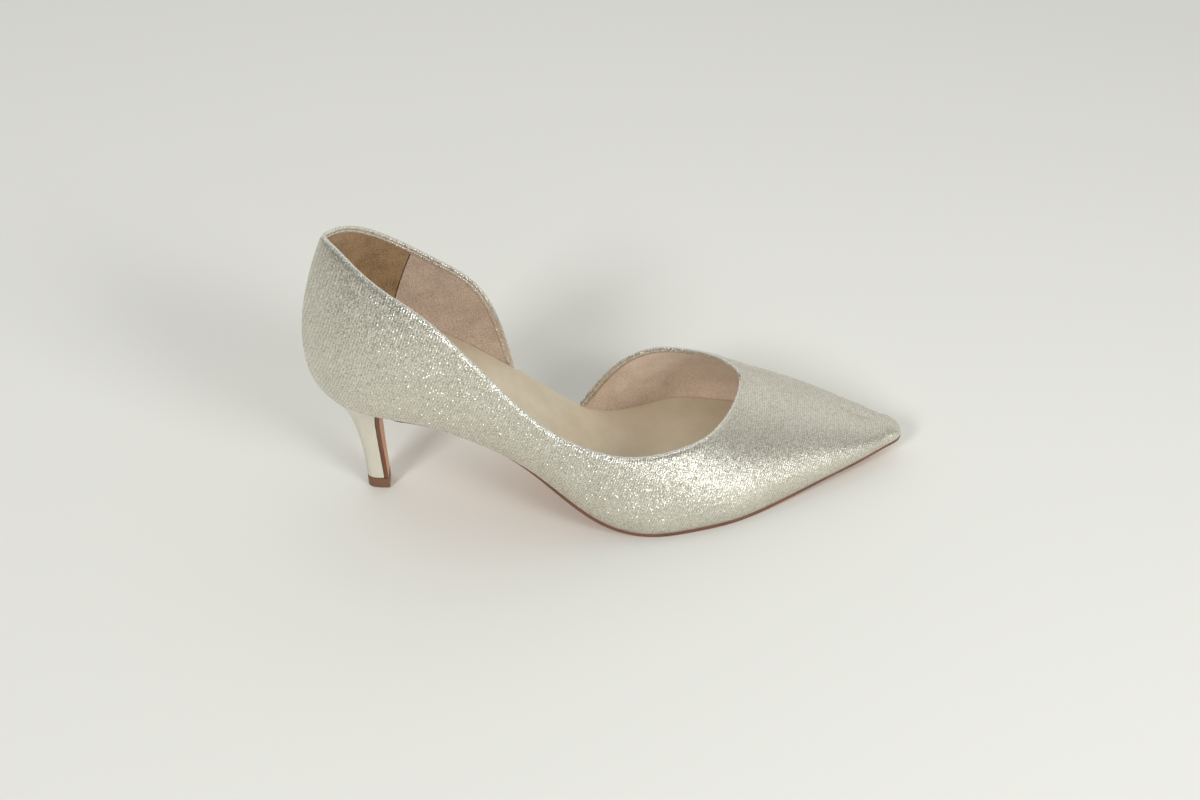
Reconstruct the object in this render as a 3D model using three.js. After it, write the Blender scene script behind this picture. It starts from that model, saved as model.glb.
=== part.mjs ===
// A pointed evening pump for the right foot, cut away along its inner side,
// on a slim covered heel. Every piece is its own closed mesh.
// Lengths are millimetres. +X runs from heel to toe, +Y to the inner side, +Z up.
// The origin lies on the floor under the middle of the heel's top piece.
import * as THREE from 'three';

// Driving sizes
const shoeLength = 242.3;
const ballWidth = 77.7;
const seatHeight = 59.5;
const heelBackX = -20.8;
const wallThickness = 1.8;
const bindingWidth = 2.2;
const bindingRise = 0.35;
const seam = 0.3;
const insoleSeam = 0.35;
const insoleThickness = 3.6;
const insoleToeThickness = 2.0;
const topPieceHeight = 5.2;
const topPieceLip = 0.1;
const flapThickness = 1.6;
const seatInset = 1.2;

// Swell of the upper above the feather line, at the heel and at the ball
const heelSwell = 5.0;
const ballSwell = 2.5;
const heelSwellHeight = 38;
const ballSwellHeight = 10;
const heelFullness = 1.3;
const ballFullness = 1.0;
const heelRidgeSetback = 34;
const toeRidgeSetback = 13;
const ridgeTop = 150;

// Feather line, where the upper meets the sole.
// along: share of the length, rise: share of the seat height,
// outer and inner: shares of the ball width.
const featherRows = [
  { along: 0.0, rise: 1.0, outer: 0.0, inner: 0.0 },
  { along: 0.02, rise: 1.0, outer: -0.138, inner: 0.115 },
  { along: 0.06, rise: 1.0, outer: -0.27, inner: 0.25 },
  { along: 0.12, rise: 1.0, outer: -0.354, inner: 0.345 },
  { along: 0.19, rise: 0.942, outer: -0.381, inner: 0.368 },
  { along: 0.27, rise: 0.774, outer: -0.384, inner: 0.34 },
  { along: 0.36, rise: 0.51, outer: -0.41, inner: 0.311 },
  { along: 0.45, rise: 0.192, outer: -0.479, inner: 0.352 },
  { along: 0.54, rise: 0.051, outer: -0.51, inner: 0.468 },
  { along: 0.62, rise: 0.045, outer: -0.479, inner: 0.54 },
  { along: 0.69, rise: 0.045, outer: -0.42, inner: 0.508 },
  { along: 0.77, rise: 0.066, outer: -0.308, inner: 0.45 },
  { along: 0.85, rise: 0.1, outer: -0.181, inner: 0.361 },
  { along: 0.92, rise: 0.127, outer: -0.068, inner: 0.273 },
  { along: 0.97, rise: 0.155, outer: 0.019, inner: 0.21 },
  { along: 0.992, rise: 0.174, outer: 0.054, inner: 0.18 },
  { along: 1.0, rise: 0.187, outer: 0.107, inner: 0.107 },
];

// Ridge line over the foot. height: share of the ridge top, side: share of the ball width.
const ridgeRows = [
  { along: 0.0, height: 1.04, side: 0.0 },
  { along: 0.006, height: 1.04, side: 0.0 },
  { along: 0.024, height: 1.041, side: 0.0 },
  { along: 0.055, height: 1.044, side: 0.0 },
  { along: 0.095, height: 1.044, side: 0.0 },
  { along: 0.146, height: 1.029, side: 0.0 },
  { along: 0.2, height: 1.0, side: 0.0 },
  { along: 0.35, height: 0.833, side: 0.01 },
  { along: 0.5, height: 0.543, side: 0.05 },
  { along: 0.6, height: 0.405, side: 0.074 },
  { along: 0.7, height: 0.312, side: 0.102 },
  { along: 0.8, height: 0.243, side: 0.123 },
  { along: 0.9, height: 0.168, side: 0.127 },
  { along: 0.94, height: 0.139, side: 0.125 },
  { along: 0.97, height: 0.125, side: 0.124 },
  { along: 0.99, height: 0.121, side: 0.122 },
  { along: 1.0, height: 0.12, side: 0.12 },
];

// Collar edge: inner quarter, round the heel, outer side, throat, inner wing.
// along: share of the length, negative on the inner quarter. around: 0 on the outer
// feather line, 1 on the ridge, 2 on the inner one; the inner quarter counts up from
// 0 again. foot: share of the length where the wall below this spot stands.
const collarRows = [
  { along: -0.325, around: 0.04, foot: -0.325 },
  { along: -0.316, around: 0.123, foot: -0.316 },
  { along: -0.299, around: 0.229, foot: -0.299 },
  { along: -0.265, around: 0.31, foot: -0.265 },
  { along: -0.21, around: 0.342, foot: -0.21 },
  { along: -0.15, around: 0.39, foot: -0.15 },
  { along: -0.08, around: 0.47, foot: -0.08 },
  { along: -0.025, around: 0.532, foot: -0.025 },
  { along: 0.0, around: 0.552, foot: 0.0 },
  { along: 0.025, around: 0.553, foot: 0.025 },
  { along: 0.07, around: 0.522, foot: 0.07 },
  { along: 0.13, around: 0.469, foot: 0.13 },
  { along: 0.2, around: 0.413, foot: 0.2 },
  { along: 0.28, around: 0.315, foot: 0.28 },
  { along: 0.36, around: 0.24, foot: 0.36 },
  { along: 0.44, around: 0.27, foot: 0.44 },
  { along: 0.52, around: 0.338, foot: 0.52 },
  { along: 0.59, around: 0.426, foot: 0.6 },
  { along: 0.65, around: 0.549, foot: 0.675 },
  { along: 0.693, around: 0.77, foot: 0.73 },
  { along: 0.708, around: 1.0, foot: 0.765 },
  { along: 0.693, around: 1.165, foot: 0.73 },
  { along: 0.65, around: 1.415, foot: 0.675 },
  { along: 0.59, around: 1.532, foot: 0.6 },
  { along: 0.53, around: 1.655, foot: 0.53 },
  { along: 0.486, around: 1.795, foot: 0.486 },
  { along: 0.457, around: 1.905, foot: 0.457 },
  { along: 0.439, around: 1.965, foot: 0.439 },
];
const throatRow = 20;

// Heel block. level: share of the height, back, front and half (half width) in
// millimetres, flare: share of the way from the stem outline to the seat outline.
const heelRows = [
  { level: 0.0, back: -4.6, front: 2.4, half: 3.9, flare: 0 },
  { level: 0.15, back: -4.9, front: 2.1, half: 4.2, flare: 0 },
  { level: 0.32, back: -5.5, front: 1.8, half: 4.9, flare: 0 },
  { level: 0.5, back: -6.8, front: 1.6, half: 5.9, flare: 0 },
  { level: 0.63, back: -8.2, front: 1.7, half: 7.1, flare: 0.01 },
  { level: 0.74, back: -10.2, front: 2.5, half: 8.7, flare: 0.06 },
  { level: 0.83, back: -12.4, front: 4.3, half: 10.6, flare: 0.2 },
  { level: 0.9, back: -14.4, front: 6.7, half: 12.6, flare: 0.42 },
  { level: 0.955, back: -16.2, front: 10.0, half: 15.0, flare: 0.7 },
  { level: 1.0, back: -17.6, front: 13.5, half: 18.0, flare: 1.0 },
];

// Outsole in millimetres: thickness at its edge and along its middle, and how far
// its edge lies inside the feather line
const soleRows = [
  { along: 0.14, edge: 1.6, middle: 2.4, inset: 1.3 },
  { along: 0.22, edge: 1.6, middle: 2.7, inset: 2.2 },
  { along: 0.3, edge: 1.6, middle: 3.0, inset: 2.4 },
  { along: 0.37, edge: 1.7, middle: 2.95, inset: 1.1 },
  { along: 0.45, edge: 1.8, middle: 2.8, inset: 0.4 },
  { along: 0.54, edge: 2.1, middle: 2.4, inset: 0.4 },
  { along: 0.62, edge: 2.4, middle: 2.4, inset: 0.4 },
  { along: 0.7, edge: 2.4, middle: 2.4, inset: 0.4 },
  { along: 0.8, edge: 2.1, middle: 2.2, inset: 0.4 },
  { along: 1.0, edge: 1.8, middle: 1.9, inset: 0.4 },
];

// Mesh fineness
const columnsPerCollarRow = 3;
const vampColumns = 15;
const wallRows = 10;
const plateColumns = 44;
const plateAcross = 8;
const heelAround = 20;
const blockAcross = 6;
const flapStations = 20;

// Smooth curve through a column of a table
function naturalSpline(knots, values) {
  const n = knots.length;
  const bend = new Array(n).fill(0);
  const upper = new Array(n).fill(0);
  const right = new Array(n).fill(0);
  for (let i = 1; i < n - 1; i += 1) {
    const before = knots[i] - knots[i - 1];
    const after = knots[i + 1] - knots[i];
    const slopes = (values[i + 1] - values[i]) / after - (values[i] - values[i - 1]) / before;
    const pivot = 2 * (before + after) - before * upper[i - 1];
    upper[i] = after / pivot;
    right[i] = (6 * slopes - before * right[i - 1]) / pivot;
  }
  for (let i = n - 2; i > 0; i -= 1) {
    bend[i] = right[i] - upper[i] * bend[i + 1];
  }
  return (q) => {
    const at = Math.min(Math.max(q, knots[0]), knots[n - 1]);
    let i = 0;
    while (i < n - 2 && at > knots[i + 1]) {
      i += 1;
    }
    const h = knots[i + 1] - knots[i];
    const a = (knots[i + 1] - at) / h;
    const b = (at - knots[i]) / h;
    const curve = (a * a * a - a) * bend[i] + (b * b * b - b) * bend[i + 1];
    return a * values[i] + b * values[i + 1] + (curve * h * h) / 6;
  };
}

const clamp = (v, low, high) => Math.min(Math.max(v, low), high);
const mix = (a, b, s) => a + (b - a) * s;
const ease = (s) => s * s * (3 - 2 * s);
const column = (rows, name) => rows.map((row) => row[name]);

// A share of the length as a turn: 0 at the heel back, 1 at the toe tip
const turnOf = (along) => (Math.sign(along || 1) * Math.acos(1 - 2 * Math.abs(along))) / Math.PI;
const alongOf = (turn) => (1 - Math.cos(Math.PI * turn)) / 2;

const featherTurns = column(featherRows, 'along').map(turnOf);
const featherRise = naturalSpline(featherTurns, column(featherRows, 'rise'));
const featherOuter = naturalSpline(featherTurns, column(featherRows, 'outer'));
const featherInner = naturalSpline(featherTurns, column(featherRows, 'inner'));
const ridgeTurns = column(ridgeRows, 'along').map(turnOf);
const ridgeHeight = naturalSpline(ridgeTurns, column(ridgeRows, 'height'));
const ridgeSide = naturalSpline(ridgeTurns, column(ridgeRows, 'side'));
const collarSteps = collarRows.map((row, i) => i);
const collarTurn = naturalSpline(collarSteps, column(collarRows, 'along').map(turnOf));
const collarAround = naturalSpline(collarSteps, column(collarRows, 'around'));
const collarFoot = naturalSpline(collarSteps, column(collarRows, 'foot').map(turnOf));
const soleEdge = naturalSpline(column(soleRows, 'along'), column(soleRows, 'edge'));
const soleMiddle = naturalSpline(column(soleRows, 'along'), column(soleRows, 'middle'));
const soleInset = naturalSpline(column(soleRows, 'along'), column(soleRows, 'inset'));

// Point of the feather line; side is -1 for the outer and +1 for the inner side
function featherPoint(turn, side) {
  const across = side < 0 ? featherOuter(turn) : featherInner(turn);
  return new THREE.Vector3(
    heelBackX + shoeLength * alongOf(turn),
    across * ballWidth,
    featherRise(turn) * seatHeight
  );
}

function ridgePoint(turn) {
  const along = alongOf(turn);
  const heelShare = clamp(1 - along / 0.35, 0, 1);
  const toeShare = clamp((along - 0.8) / 0.2, 0, 1);
  const x = heelBackX + shoeLength * along;
  return new THREE.Vector3(
    x + heelRidgeSetback * heelShare ** 2 - toeRidgeSetback * toeShare ** 2,
    ridgeSide(turn) * ballWidth,
    ridgeHeight(turn) * ridgeTop
  );
}

// Outside of the upper, from the feather line (around 0) to the ridge (around 1)
function bodyPoint(turn, side, around) {
  const foot = featherPoint(turn, side);
  const ridge = ridgePoint(turn);
  const along = alongOf(turn);
  const ball = ease(clamp((along - 0.12) / 0.45, 0, 1));
  const fullness = mix(heelFullness, ballFullness, ball);
  const angle = (clamp(around, 0, 1) * Math.PI) / 2;
  const inward = Math.max(Math.cos(angle), 0) ** fullness;
  const height = (ridge.z - foot.z) * Math.sin(angle) ** fullness;
  const fade = clamp((1 - along) / 0.06, 0, 1);
  const peak = mix(heelSwellHeight, ballSwellHeight, ball);
  const hump = (height / peak) * Math.exp(1 - height / peak) * (1 - clamp(around, 0, 1) ** 6);
  const swell = mix(heelSwell, ballSwell, ball) * fade * hump;
  const dx = foot.x - ridge.x;
  const dy = foot.y - ridge.y;
  const reach = Math.max(Math.hypot(dx, dy), 1e-6);
  return new THREE.Vector3(
    ridge.x + dx * (inward + swell / reach),
    ridge.y + dy * (inward + swell / reach),
    foot.z + height
  );
}

// Outward direction of the upper on one side
function sideNormal(turn, side, around) {
  const step = 0.002;
  const t0 = clamp(turn - step, 0, 1);
  const t1 = clamp(turn + step, 0, 1);
  const a0 = clamp(around - step, 0, 1);
  const a1 = clamp(around + step, 0, 1);
  const forward = bodyPoint(t1, side, around).sub(bodyPoint(t0, side, around));
  const up = bodyPoint(turn, side, a1).sub(bodyPoint(turn, side, a0));
  return forward.cross(up).multiplyScalar(-side).normalize();
}

// The same direction, shared by both sides where they meet
function bodyNormal(turn, side, around) {
  const normal = sideNormal(turn, side, around);
  if (turn < 1e-6 || turn > 1 - 1e-6 || around > 1 - 1e-6) {
    normal.add(sideNormal(turn, -side, around)).normalize();
  }
  return normal;
}

// A closed mesh collected from quads
class Shell {
  constructor() {
    this.places = [];
  }
  triangle(a, b, c) {
    this.places.push(a, b, c);
  }
  quad(a, b, c, d) {
    this.triangle(a, b, c);
    this.triangle(a, c, d);
  }
  mesh(name, color, roughness) {
    const flat = [];
    let volume = 0;
    const kept = [];
    const key = (p) => `${p.x.toFixed(4)},${p.y.toFixed(4)},${p.z.toFixed(4)}`;
    for (let i = 0; i < this.places.length; i += 3) {
      const [a, b, c] = this.places.slice(i, i + 3);
      if (key(a) !== key(b) && key(b) !== key(c) && key(c) !== key(a)) {
        kept.push([a, b, c]);
        volume += a.dot(b.clone().cross(c));
      }
    }
    kept.forEach(([a, b, c]) => {
      const corners = volume > 0 ? [a, b, c] : [a, c, b];
      corners.forEach((p) => flat.push(p.x, p.y, p.z));
    });
    const geometry = new THREE.BufferGeometry();
    geometry.setAttribute('position', new THREE.Float32BufferAttribute(flat, 3));
    geometry.computeVertexNormals();
    const material = new THREE.MeshStandardMaterial({ color, roughness, metalness: 0 });
    const mesh = new THREE.Mesh(geometry, material);
    mesh.name = name;
    return mesh;
  }
}

// Shares of a wall column at its rows: two beside the insole, even rows above,
// then the lines of the binding
function wallShares(length) {
  const binding = Math.min(bindingWidth / length, 0.4);
  const ramp = Math.min(0.45 / length, 0.08);
  const beside = Math.min((insoleThickness + 0.3) / length, 0.3);
  const shares = [0, beside / 2];
  const plain = wallRows - 4;
  for (let i = 0; i <= plain; i += 1) {
    shares.push(mix(beside, 1 - binding - ramp, i / plain));
  }
  shares.push(1 - binding, 1);
  return shares;
}

// One column of the upper: points outside and inside, foot first
function wallColumn(footTurn, topTurn, side, topAround, collarLine) {
  const samples = 40;
  const at = (v) => ({ turn: mix(footTurn, topTurn, v), around: topAround * v });
  const lengths = [0];
  let last = bodyPoint(footTurn, side, 0);
  for (let i = 1; i <= samples; i += 1) {
    const spot = at(i / samples);
    const next = bodyPoint(spot.turn, side, spot.around);
    lengths.push(lengths[i - 1] + next.distanceTo(last));
    last = next;
  }
  const whole = lengths[samples];
  return wallShares(whole).map((share) => {
    const wanted = share * whole;
    let i = 0;
    while (i < samples - 1 && lengths[i + 1] < wanted) {
      i += 1;
    }
    const part = (wanted - lengths[i]) / Math.max(lengths[i + 1] - lengths[i], 1e-9);
    const spot = at(clamp((i + part) / samples, 0, 1));
    const base = bodyPoint(spot.turn, side, spot.around);
    const normal = bodyNormal(spot.turn, side, spot.around);
    const near = collarLine.reduce((d, p) => Math.min(d, p.distanceTo(base)), 1e9);
    const raise = bindingRise * ease(clamp((bindingWidth + 0.45 - near) / 0.4, 0, 1));
    return {
      outside: base.clone().addScaledVector(normal, raise),
      inside: base.clone().addScaledVector(normal, -wallThickness),
    };
  });
}

// Collar spot for a step of the table
function collarSpot(step) {
  const turn = collarTurn(step);
  const around = collarAround(step);
  const inner = turn < -1e-9 || around > 1 + 1e-9;
  return {
    side: inner ? 1 : -1,
    turn: Math.abs(turn),
    around: around > 1 ? 2 - around : around,
    foot: Math.abs(collarFoot(step)),
  };
}

function makeUpper() {
  const lastStep = collarRows.length - 1;
  const collarLine = [];
  for (let i = 0; i <= lastStep * 8; i += 1) {
    const spot = collarSpot(i / 8);
    collarLine.push(bodyPoint(spot.turn, spot.side, spot.around));
  }
  const collarColumn = (step) => {
    const spot = collarSpot(step);
    return wallColumn(spot.foot, spot.turn, spot.side, spot.around, collarLine);
  };
  const throat = collarSpot(throatRow);
  const vampColumn = (i, side) => {
    const share = (i / vampColumns) ** 0.85;
    const footTurn = mix(throat.foot, 1, share);
    return wallColumn(footTurn, mix(throat.turn, 1, share), side, 1, collarLine);
  };
  // Quarter, heel and outer side up to the throat
  const columns = [];
  for (let i = 0; i <= throatRow * columnsPerCollarRow; i += 1) {
    columns.push(collarColumn(i / columnsPerCollarRow));
  }
  const throatOuter = columns.length - 1;
  for (let i = 1; i < vampColumns; i += 1) {
    columns.push(vampColumn(i, -1));
  }
  columns.push(vampColumn(vampColumns, -1));
  for (let i = vampColumns - 1; i > 0; i -= 1) {
    columns.push(vampColumn(i, 1));
  }
  const throatInner = columns.length;
  columns.push(wallColumn(throat.foot, throat.turn, 1, 1, collarLine));
  for (let i = throatRow * columnsPerCollarRow + 1; i <= lastStep * columnsPerCollarRow; i += 1) {
    columns.push(collarColumn(i / columnsPerCollarRow));
  }
  const shell = new Shell();
  const top = wallRows;
  for (let i = 0; i < columns.length - 1; i += 1) {
    const a = columns[i];
    const b = columns[i + 1];
    for (let j = 0; j < top; j += 1) {
      shell.quad(a[j].outside, b[j].outside, b[j + 1].outside, a[j + 1].outside);
      shell.quad(a[j].inside, a[j + 1].inside, b[j + 1].inside, b[j].inside);
    }
    shell.quad(a[0].outside, a[0].inside, b[0].inside, b[0].outside);
    if (i < throatOuter || i >= throatInner) {
      shell.quad(a[top].outside, b[top].outside, b[top].inside, a[top].inside);
    }
  }
  const first = columns[0];
  const final = columns[columns.length - 1];
  for (let j = 0; j < top; j += 1) {
    shell.quad(first[j].outside, first[j + 1].outside, first[j + 1].inside, first[j].inside);
    shell.quad(final[j].outside, final[j].inside, final[j + 1].inside, final[j + 1].outside);
  }
  return shell.mesh('upper', 0xccc8b8, 0.5);
}

// A closed plate from its sheets of lines, lowest sheet first; the sheets between
// the lowest and the highest only shape the rim
function addPlate(shell, sheets) {
  const lower = sheets[0];
  const upper = sheets[sheets.length - 1];
  const last = upper.length - 1;
  const side = upper[0].length - 1;
  for (let i = 0; i < last; i += 1) {
    for (let k = 0; k < side; k += 1) {
      shell.quad(upper[i][k], upper[i + 1][k], upper[i + 1][k + 1], upper[i][k + 1]);
      shell.quad(lower[i][k], lower[i][k + 1], lower[i + 1][k + 1], lower[i + 1][k]);
    }
  }
  for (let n = 0; n < sheets.length - 1; n += 1) {
    const low = sheets[n];
    const high = sheets[n + 1];
    for (let i = 0; i < last; i += 1) {
      shell.quad(low[i][0], low[i + 1][0], high[i + 1][0], high[i][0]);
      shell.quad(low[i][side], high[i][side], high[i + 1][side], low[i + 1][side]);
    }
    for (let k = 0; k < side; k += 1) {
      shell.quad(low[0][k], high[0][k], high[0][k + 1], low[0][k + 1]);
      shell.quad(low[last][k], low[last][k + 1], high[last][k + 1], high[last][k]);
    }
  }
}

// Height and slope of the line on which the upper, insole and sole meet
function bottomHeight(x) {
  const along = clamp((x - heelBackX) / shoeLength, 0, 1);
  return featherRise(turnOf(along)) * seatHeight;
}
function bottomSlope(x) {
  return (bottomHeight(x + 0.5) - bottomHeight(x - 0.5)) / 1;
}
const undersideHeight = (x) => bottomHeight(x) - seam * Math.hypot(1, bottomSlope(x));

// Edge of the insole against the inside of the wall, at a height over its foot
function insoleEdge(turn, side, height) {
  const foot = featherPoint(turn, side);
  const ridge = ridgePoint(turn);
  const depth = wallThickness + insoleSeam;
  let around = 0.02;
  let spot = foot;
  for (let i = 0; i < 12; i += 1) {
    const base = bodyPoint(turn, side, around);
    const normal = bodyNormal(turn, side, around);
    spot = base.clone().addScaledVector(normal, -depth);
    const miss = height - (spot.z - bottomHeight(spot.x));
    const climb = Math.max((ridge.z - foot.z) * 1.4, 8);
    around = clamp(around + miss / climb, 0, 0.9);
  }
  return spot;
}

function makeInsole() {
  const gapStart = Math.abs(collarRows[0].along);
  const gapEnd = collarRows[collarRows.length - 1].along;
  const clear = (seam + 0.06) / shoeLength;
  const stops = [];
  for (let i = 0; i <= plateColumns; i += 1) {
    const turn = mix(0.0, 0.965, i / plateColumns);
    const along = alongOf(turn);
    if (Math.abs(along - gapStart) > 0.006 && Math.abs(along - gapEnd) > 0.006) {
      stops.push({ turn, open: along > gapStart && along < gapEnd });
    }
  }
  stops.push({ turn: turnOf(gapStart + clear), open: false });
  stops.push({ turn: turnOf(gapStart + clear * 1.2), open: true });
  stops.push({ turn: turnOf(gapEnd - clear * 1.2), open: true });
  stops.push({ turn: turnOf(gapEnd - clear), open: false });
  stops.sort((a, b) => a.turn - b.turn);
  const sections = stops.map((stop) => {
    const along = alongOf(stop.turn);
    const thick = mix(insoleThickness, insoleToeThickness, ease(clamp((along - 0.7) / 0.25, 0, 1)));
    return [0, 0.45 * thick, thick].map((height) => {
      const outer = insoleEdge(stop.turn, -1, height);
      const inner = stop.open ? featherPoint(stop.turn, 1) : insoleEdge(stop.turn, 1, height);
      const line = [];
      for (let k = 0; k <= plateAcross; k += 1) {
        const place = outer.clone().lerp(inner, k / plateAcross);
        place.z = bottomHeight(place.x) + height;
        line.push(place);
      }
      return line;
    });
  });
  const shell = new Shell();
  addPlate(shell, [0, 1, 2].map((n) => sections.map((lines) => lines[n])));
  return shell.mesh('insole', 0xc2b18f, 0.6);
}

// Seat outline of the heel block: the feather line drawn in by the seat inset
const breastX = heelRows[heelRows.length - 1].front;
function insetFeather(turn, side, inset) {
  const here = featherPoint(turn, side);
  const ahead = featherPoint(clamp(turn + 0.002, 0, 1), side);
  const behind = featherPoint(clamp(turn - 0.002, 0, 1), side);
  if (turn < 0.002) {
    return new THREE.Vector3(here.x + inset, here.y, here.z);
  }
  const forward = ahead.sub(behind);
  const reach = Math.hypot(forward.x, forward.y);
  return new THREE.Vector3(
    here.x + (side * forward.y * inset) / reach,
    here.y - (side * forward.x * inset) / reach,
    here.z
  );
}
const breastTurn = turnOf((breastX - heelBackX) / shoeLength);

const heelLevels = column(heelRows, 'level');
const heelBack = naturalSpline(heelLevels, column(heelRows, 'back'));
const heelFront = naturalSpline(heelLevels, column(heelRows, 'front'));
const heelHalf = naturalSpline(heelLevels, column(heelRows, 'half'));
const heelFlare = naturalSpline(heelLevels, column(heelRows, 'flare'));
const heelBase = topPieceHeight + seam;

// Outline of the heel block at a level; u runs -1, 0, 1 from the outer breast
// corner round the back to the inner breast corner
function heelOutline(level, u) {
  const side = u < 0 ? -1 : 1;
  const angle = (Math.abs(u) * Math.PI) / 2;
  const back = heelBack(level);
  const front = heelFront(level);
  const flare = clamp(heelFlare(level), 0, 1);
  const stemX = front - (front - back) * Math.cos(angle) ** 0.8;
  const stemY = side * heelHalf(level) * Math.sin(angle) ** 0.75;
  const seat = insetFeather(breastTurn * Math.abs(u) ** 0.9, side, seatInset);
  const seatX = seat.x;
  const x = mix(stemX, seatX, flare * (1 - Math.abs(u) ** 6));
  const y = mix(stemY, seat.y, flare);
  const top = undersideHeight(x);
  return new THREE.Vector3(x, y, heelBase + level * (top - heelBase));
}

// Ring of the heel block: round the back, then across the flat breast
function heelRing(level) {
  const places = [];
  for (let i = 0; i <= heelAround; i += 1) {
    places.push(heelOutline(level, -1 + (2 * i) / heelAround));
  }
  return closeAcross(places);
}

// Adds the points of the straight front edge to a round outline
function closeAcross(places) {
  const first = places[0];
  const last = places[places.length - 1];
  for (let k = 1; k < blockAcross; k += 1) {
    places.push(last.clone().lerp(first, k / blockAcross));
  }
  return places;
}

// Walls between rings, and a cap on each end that follows a height
function addBlock(shell, rings, lowHeight, highHeight) {
  const count = rings[0].length;
  for (let j = 0; j < rings.length - 1; j += 1) {
    for (let i = 0; i < count; i += 1) {
      const next = (i + 1) % count;
      shell.quad(rings[j][i], rings[j + 1][i], rings[j + 1][next], rings[j][next]);
    }
  }
  const half = heelAround / 2;
  const caps = [
    { ring: rings[rings.length - 1], height: highHeight, up: true },
    { ring: rings[0], height: lowHeight, up: false },
  ];
  caps.forEach(({ ring, height, up }) => {
    const spot = (i, k) => {
      if (k === 0) {
        return ring[half - i];
      }
      if (k === blockAcross) {
        return ring[half + i];
      }
      if (i === half) {
        return ring[heelAround + blockAcross - k];
      }
      const place = ring[half - i].clone().lerp(ring[half + i], k / blockAcross);
      return place.setZ(height(place.x));
    };
    for (let i = 0; i < half; i += 1) {
      for (let k = 0; k < blockAcross; k += 1) {
        const corners = [spot(i, k), spot(i, k + 1), spot(i + 1, k + 1), spot(i + 1, k)];
        if (up) {
          corners.reverse();
        }
        shell.quad(...corners);
      }
    }
  });
}

function makeHeel() {
  const rings = [];
  for (let i = 0; i < heelLevels.length - 1; i += 1) {
    rings.push(heelRing(heelLevels[i]));
    rings.push(heelRing((heelLevels[i] + heelLevels[i + 1]) / 2));
  }
  rings.push(heelRing(1));
  const shell = new Shell();
  addBlock(shell, rings, () => heelBase, undersideHeight);
  return shell.mesh('heel', 0xc9c1ad, 0.7);
}

// Top piece: the wearing block under the heel and its flap
function makeTopPiece() {
  const back = heelBack(0) - topPieceLip;
  const front = heelFront(0) + seam + flapThickness + 0.1;
  const half = heelHalf(0) + topPieceLip;
  const ring = (z) => {
    const places = [];
    for (let i = 0; i <= heelAround; i += 1) {
      const u = -1 + (2 * i) / heelAround;
      const angle = (Math.abs(u) * Math.PI) / 2;
      const x = front - (front - back) * Math.cos(angle) ** 0.8;
      places.push(new THREE.Vector3(x, Math.sign(u) * half * Math.sin(angle) ** 0.75, z));
    }
    return closeAcross(places);
  };
  const shell = new Shell();
  addBlock(shell, [ring(0), ring(topPieceHeight)], () => 0, () => topPieceHeight);
  return shell.mesh('top_piece', 0x5e4233, 0.6);
}

// Outsole: a plate under the foot that turns down over the heel breast as a flap
function makeOutsole() {
  const upper = [];
  const lower = [];
  const startTurn = turnOf((breastX - heelBackX) / shoeLength + 0.012);
  for (let i = 0; i <= plateColumns; i += 1) {
    const turn = mix(0.985, startTurn, i / plateColumns);
    const along = alongOf(turn);
    const outer = insetFeather(turn, -1, soleInset(along));
    const inner = insetFeather(turn, 1, soleInset(along));
    const high = [];
    const low = [];
    for (let k = 0; k <= plateAcross; k += 1) {
      const place = outer.clone().lerp(inner, k / plateAcross);
      place.z = undersideHeight(place.x);
      const slope = bottomSlope(place.x);
      const drop = new THREE.Vector3(slope, 0, -1).normalize();
      const bow = 1 - ((2 * k) / plateAcross - 1) ** 2;
      const thick = mix(soleEdge(along), soleMiddle(along), bow);
      const under = place.clone().addScaledVector(drop, thick);
      under.z = Math.max(under.z, 0);
      high.push(place);
      low.push(under);
    }
    upper.push(high);
    lower.push(low);
  }
  for (let i = flapStations; i >= 0; i -= 1) {
    const level = i / flapStations;
    const corners = [heelOutline(level, -1), heelOutline(level, 1)];
    const above = heelOutline(Math.min(level + 0.03, 1), -1);
    const below = heelOutline(Math.max(level - 0.03, 0), -1);
    const ahead = new THREE.Vector3(above.z - below.z, 0, below.x - above.x).normalize();
    const high = [];
    const low = [];
    for (let k = 0; k <= plateAcross; k += 1) {
      const place = corners[0].clone().lerp(corners[1], k / plateAcross);
      high.push(place.clone().addScaledVector(ahead, seam));
      low.push(place.clone().addScaledVector(ahead, seam + flapThickness));
    }
    upper.push(high);
    lower.push(low);
  }
  const shell = new Shell();
  addPlate(shell, [lower, upper]);
  return shell.mesh('outsole', 0x7c5640, 0.6);
}

const group = new THREE.Group();
group.name = 'pump_shoe';
group.add(makeUpper(), makeInsole(), makeOutsole(), makeHeel(), makeTopPiece());

export default group;
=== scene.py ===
import math

import bmesh
import bpy
import numpy as np
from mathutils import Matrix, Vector


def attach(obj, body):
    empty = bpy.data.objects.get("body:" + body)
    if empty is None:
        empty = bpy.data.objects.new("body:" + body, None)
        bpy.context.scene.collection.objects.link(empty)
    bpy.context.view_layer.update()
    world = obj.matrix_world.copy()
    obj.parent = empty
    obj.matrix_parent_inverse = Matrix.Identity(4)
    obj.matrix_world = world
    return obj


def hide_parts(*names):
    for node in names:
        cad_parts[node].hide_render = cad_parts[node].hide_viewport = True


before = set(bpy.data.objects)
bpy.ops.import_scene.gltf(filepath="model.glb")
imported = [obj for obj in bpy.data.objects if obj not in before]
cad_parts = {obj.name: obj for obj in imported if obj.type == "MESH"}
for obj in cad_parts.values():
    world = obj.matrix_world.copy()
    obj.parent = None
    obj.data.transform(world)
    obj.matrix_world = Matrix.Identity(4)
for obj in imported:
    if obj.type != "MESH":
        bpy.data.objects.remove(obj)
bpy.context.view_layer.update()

scene = bpy.context.scene
mm = 0.001
print("packed shoe loaded")


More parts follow.
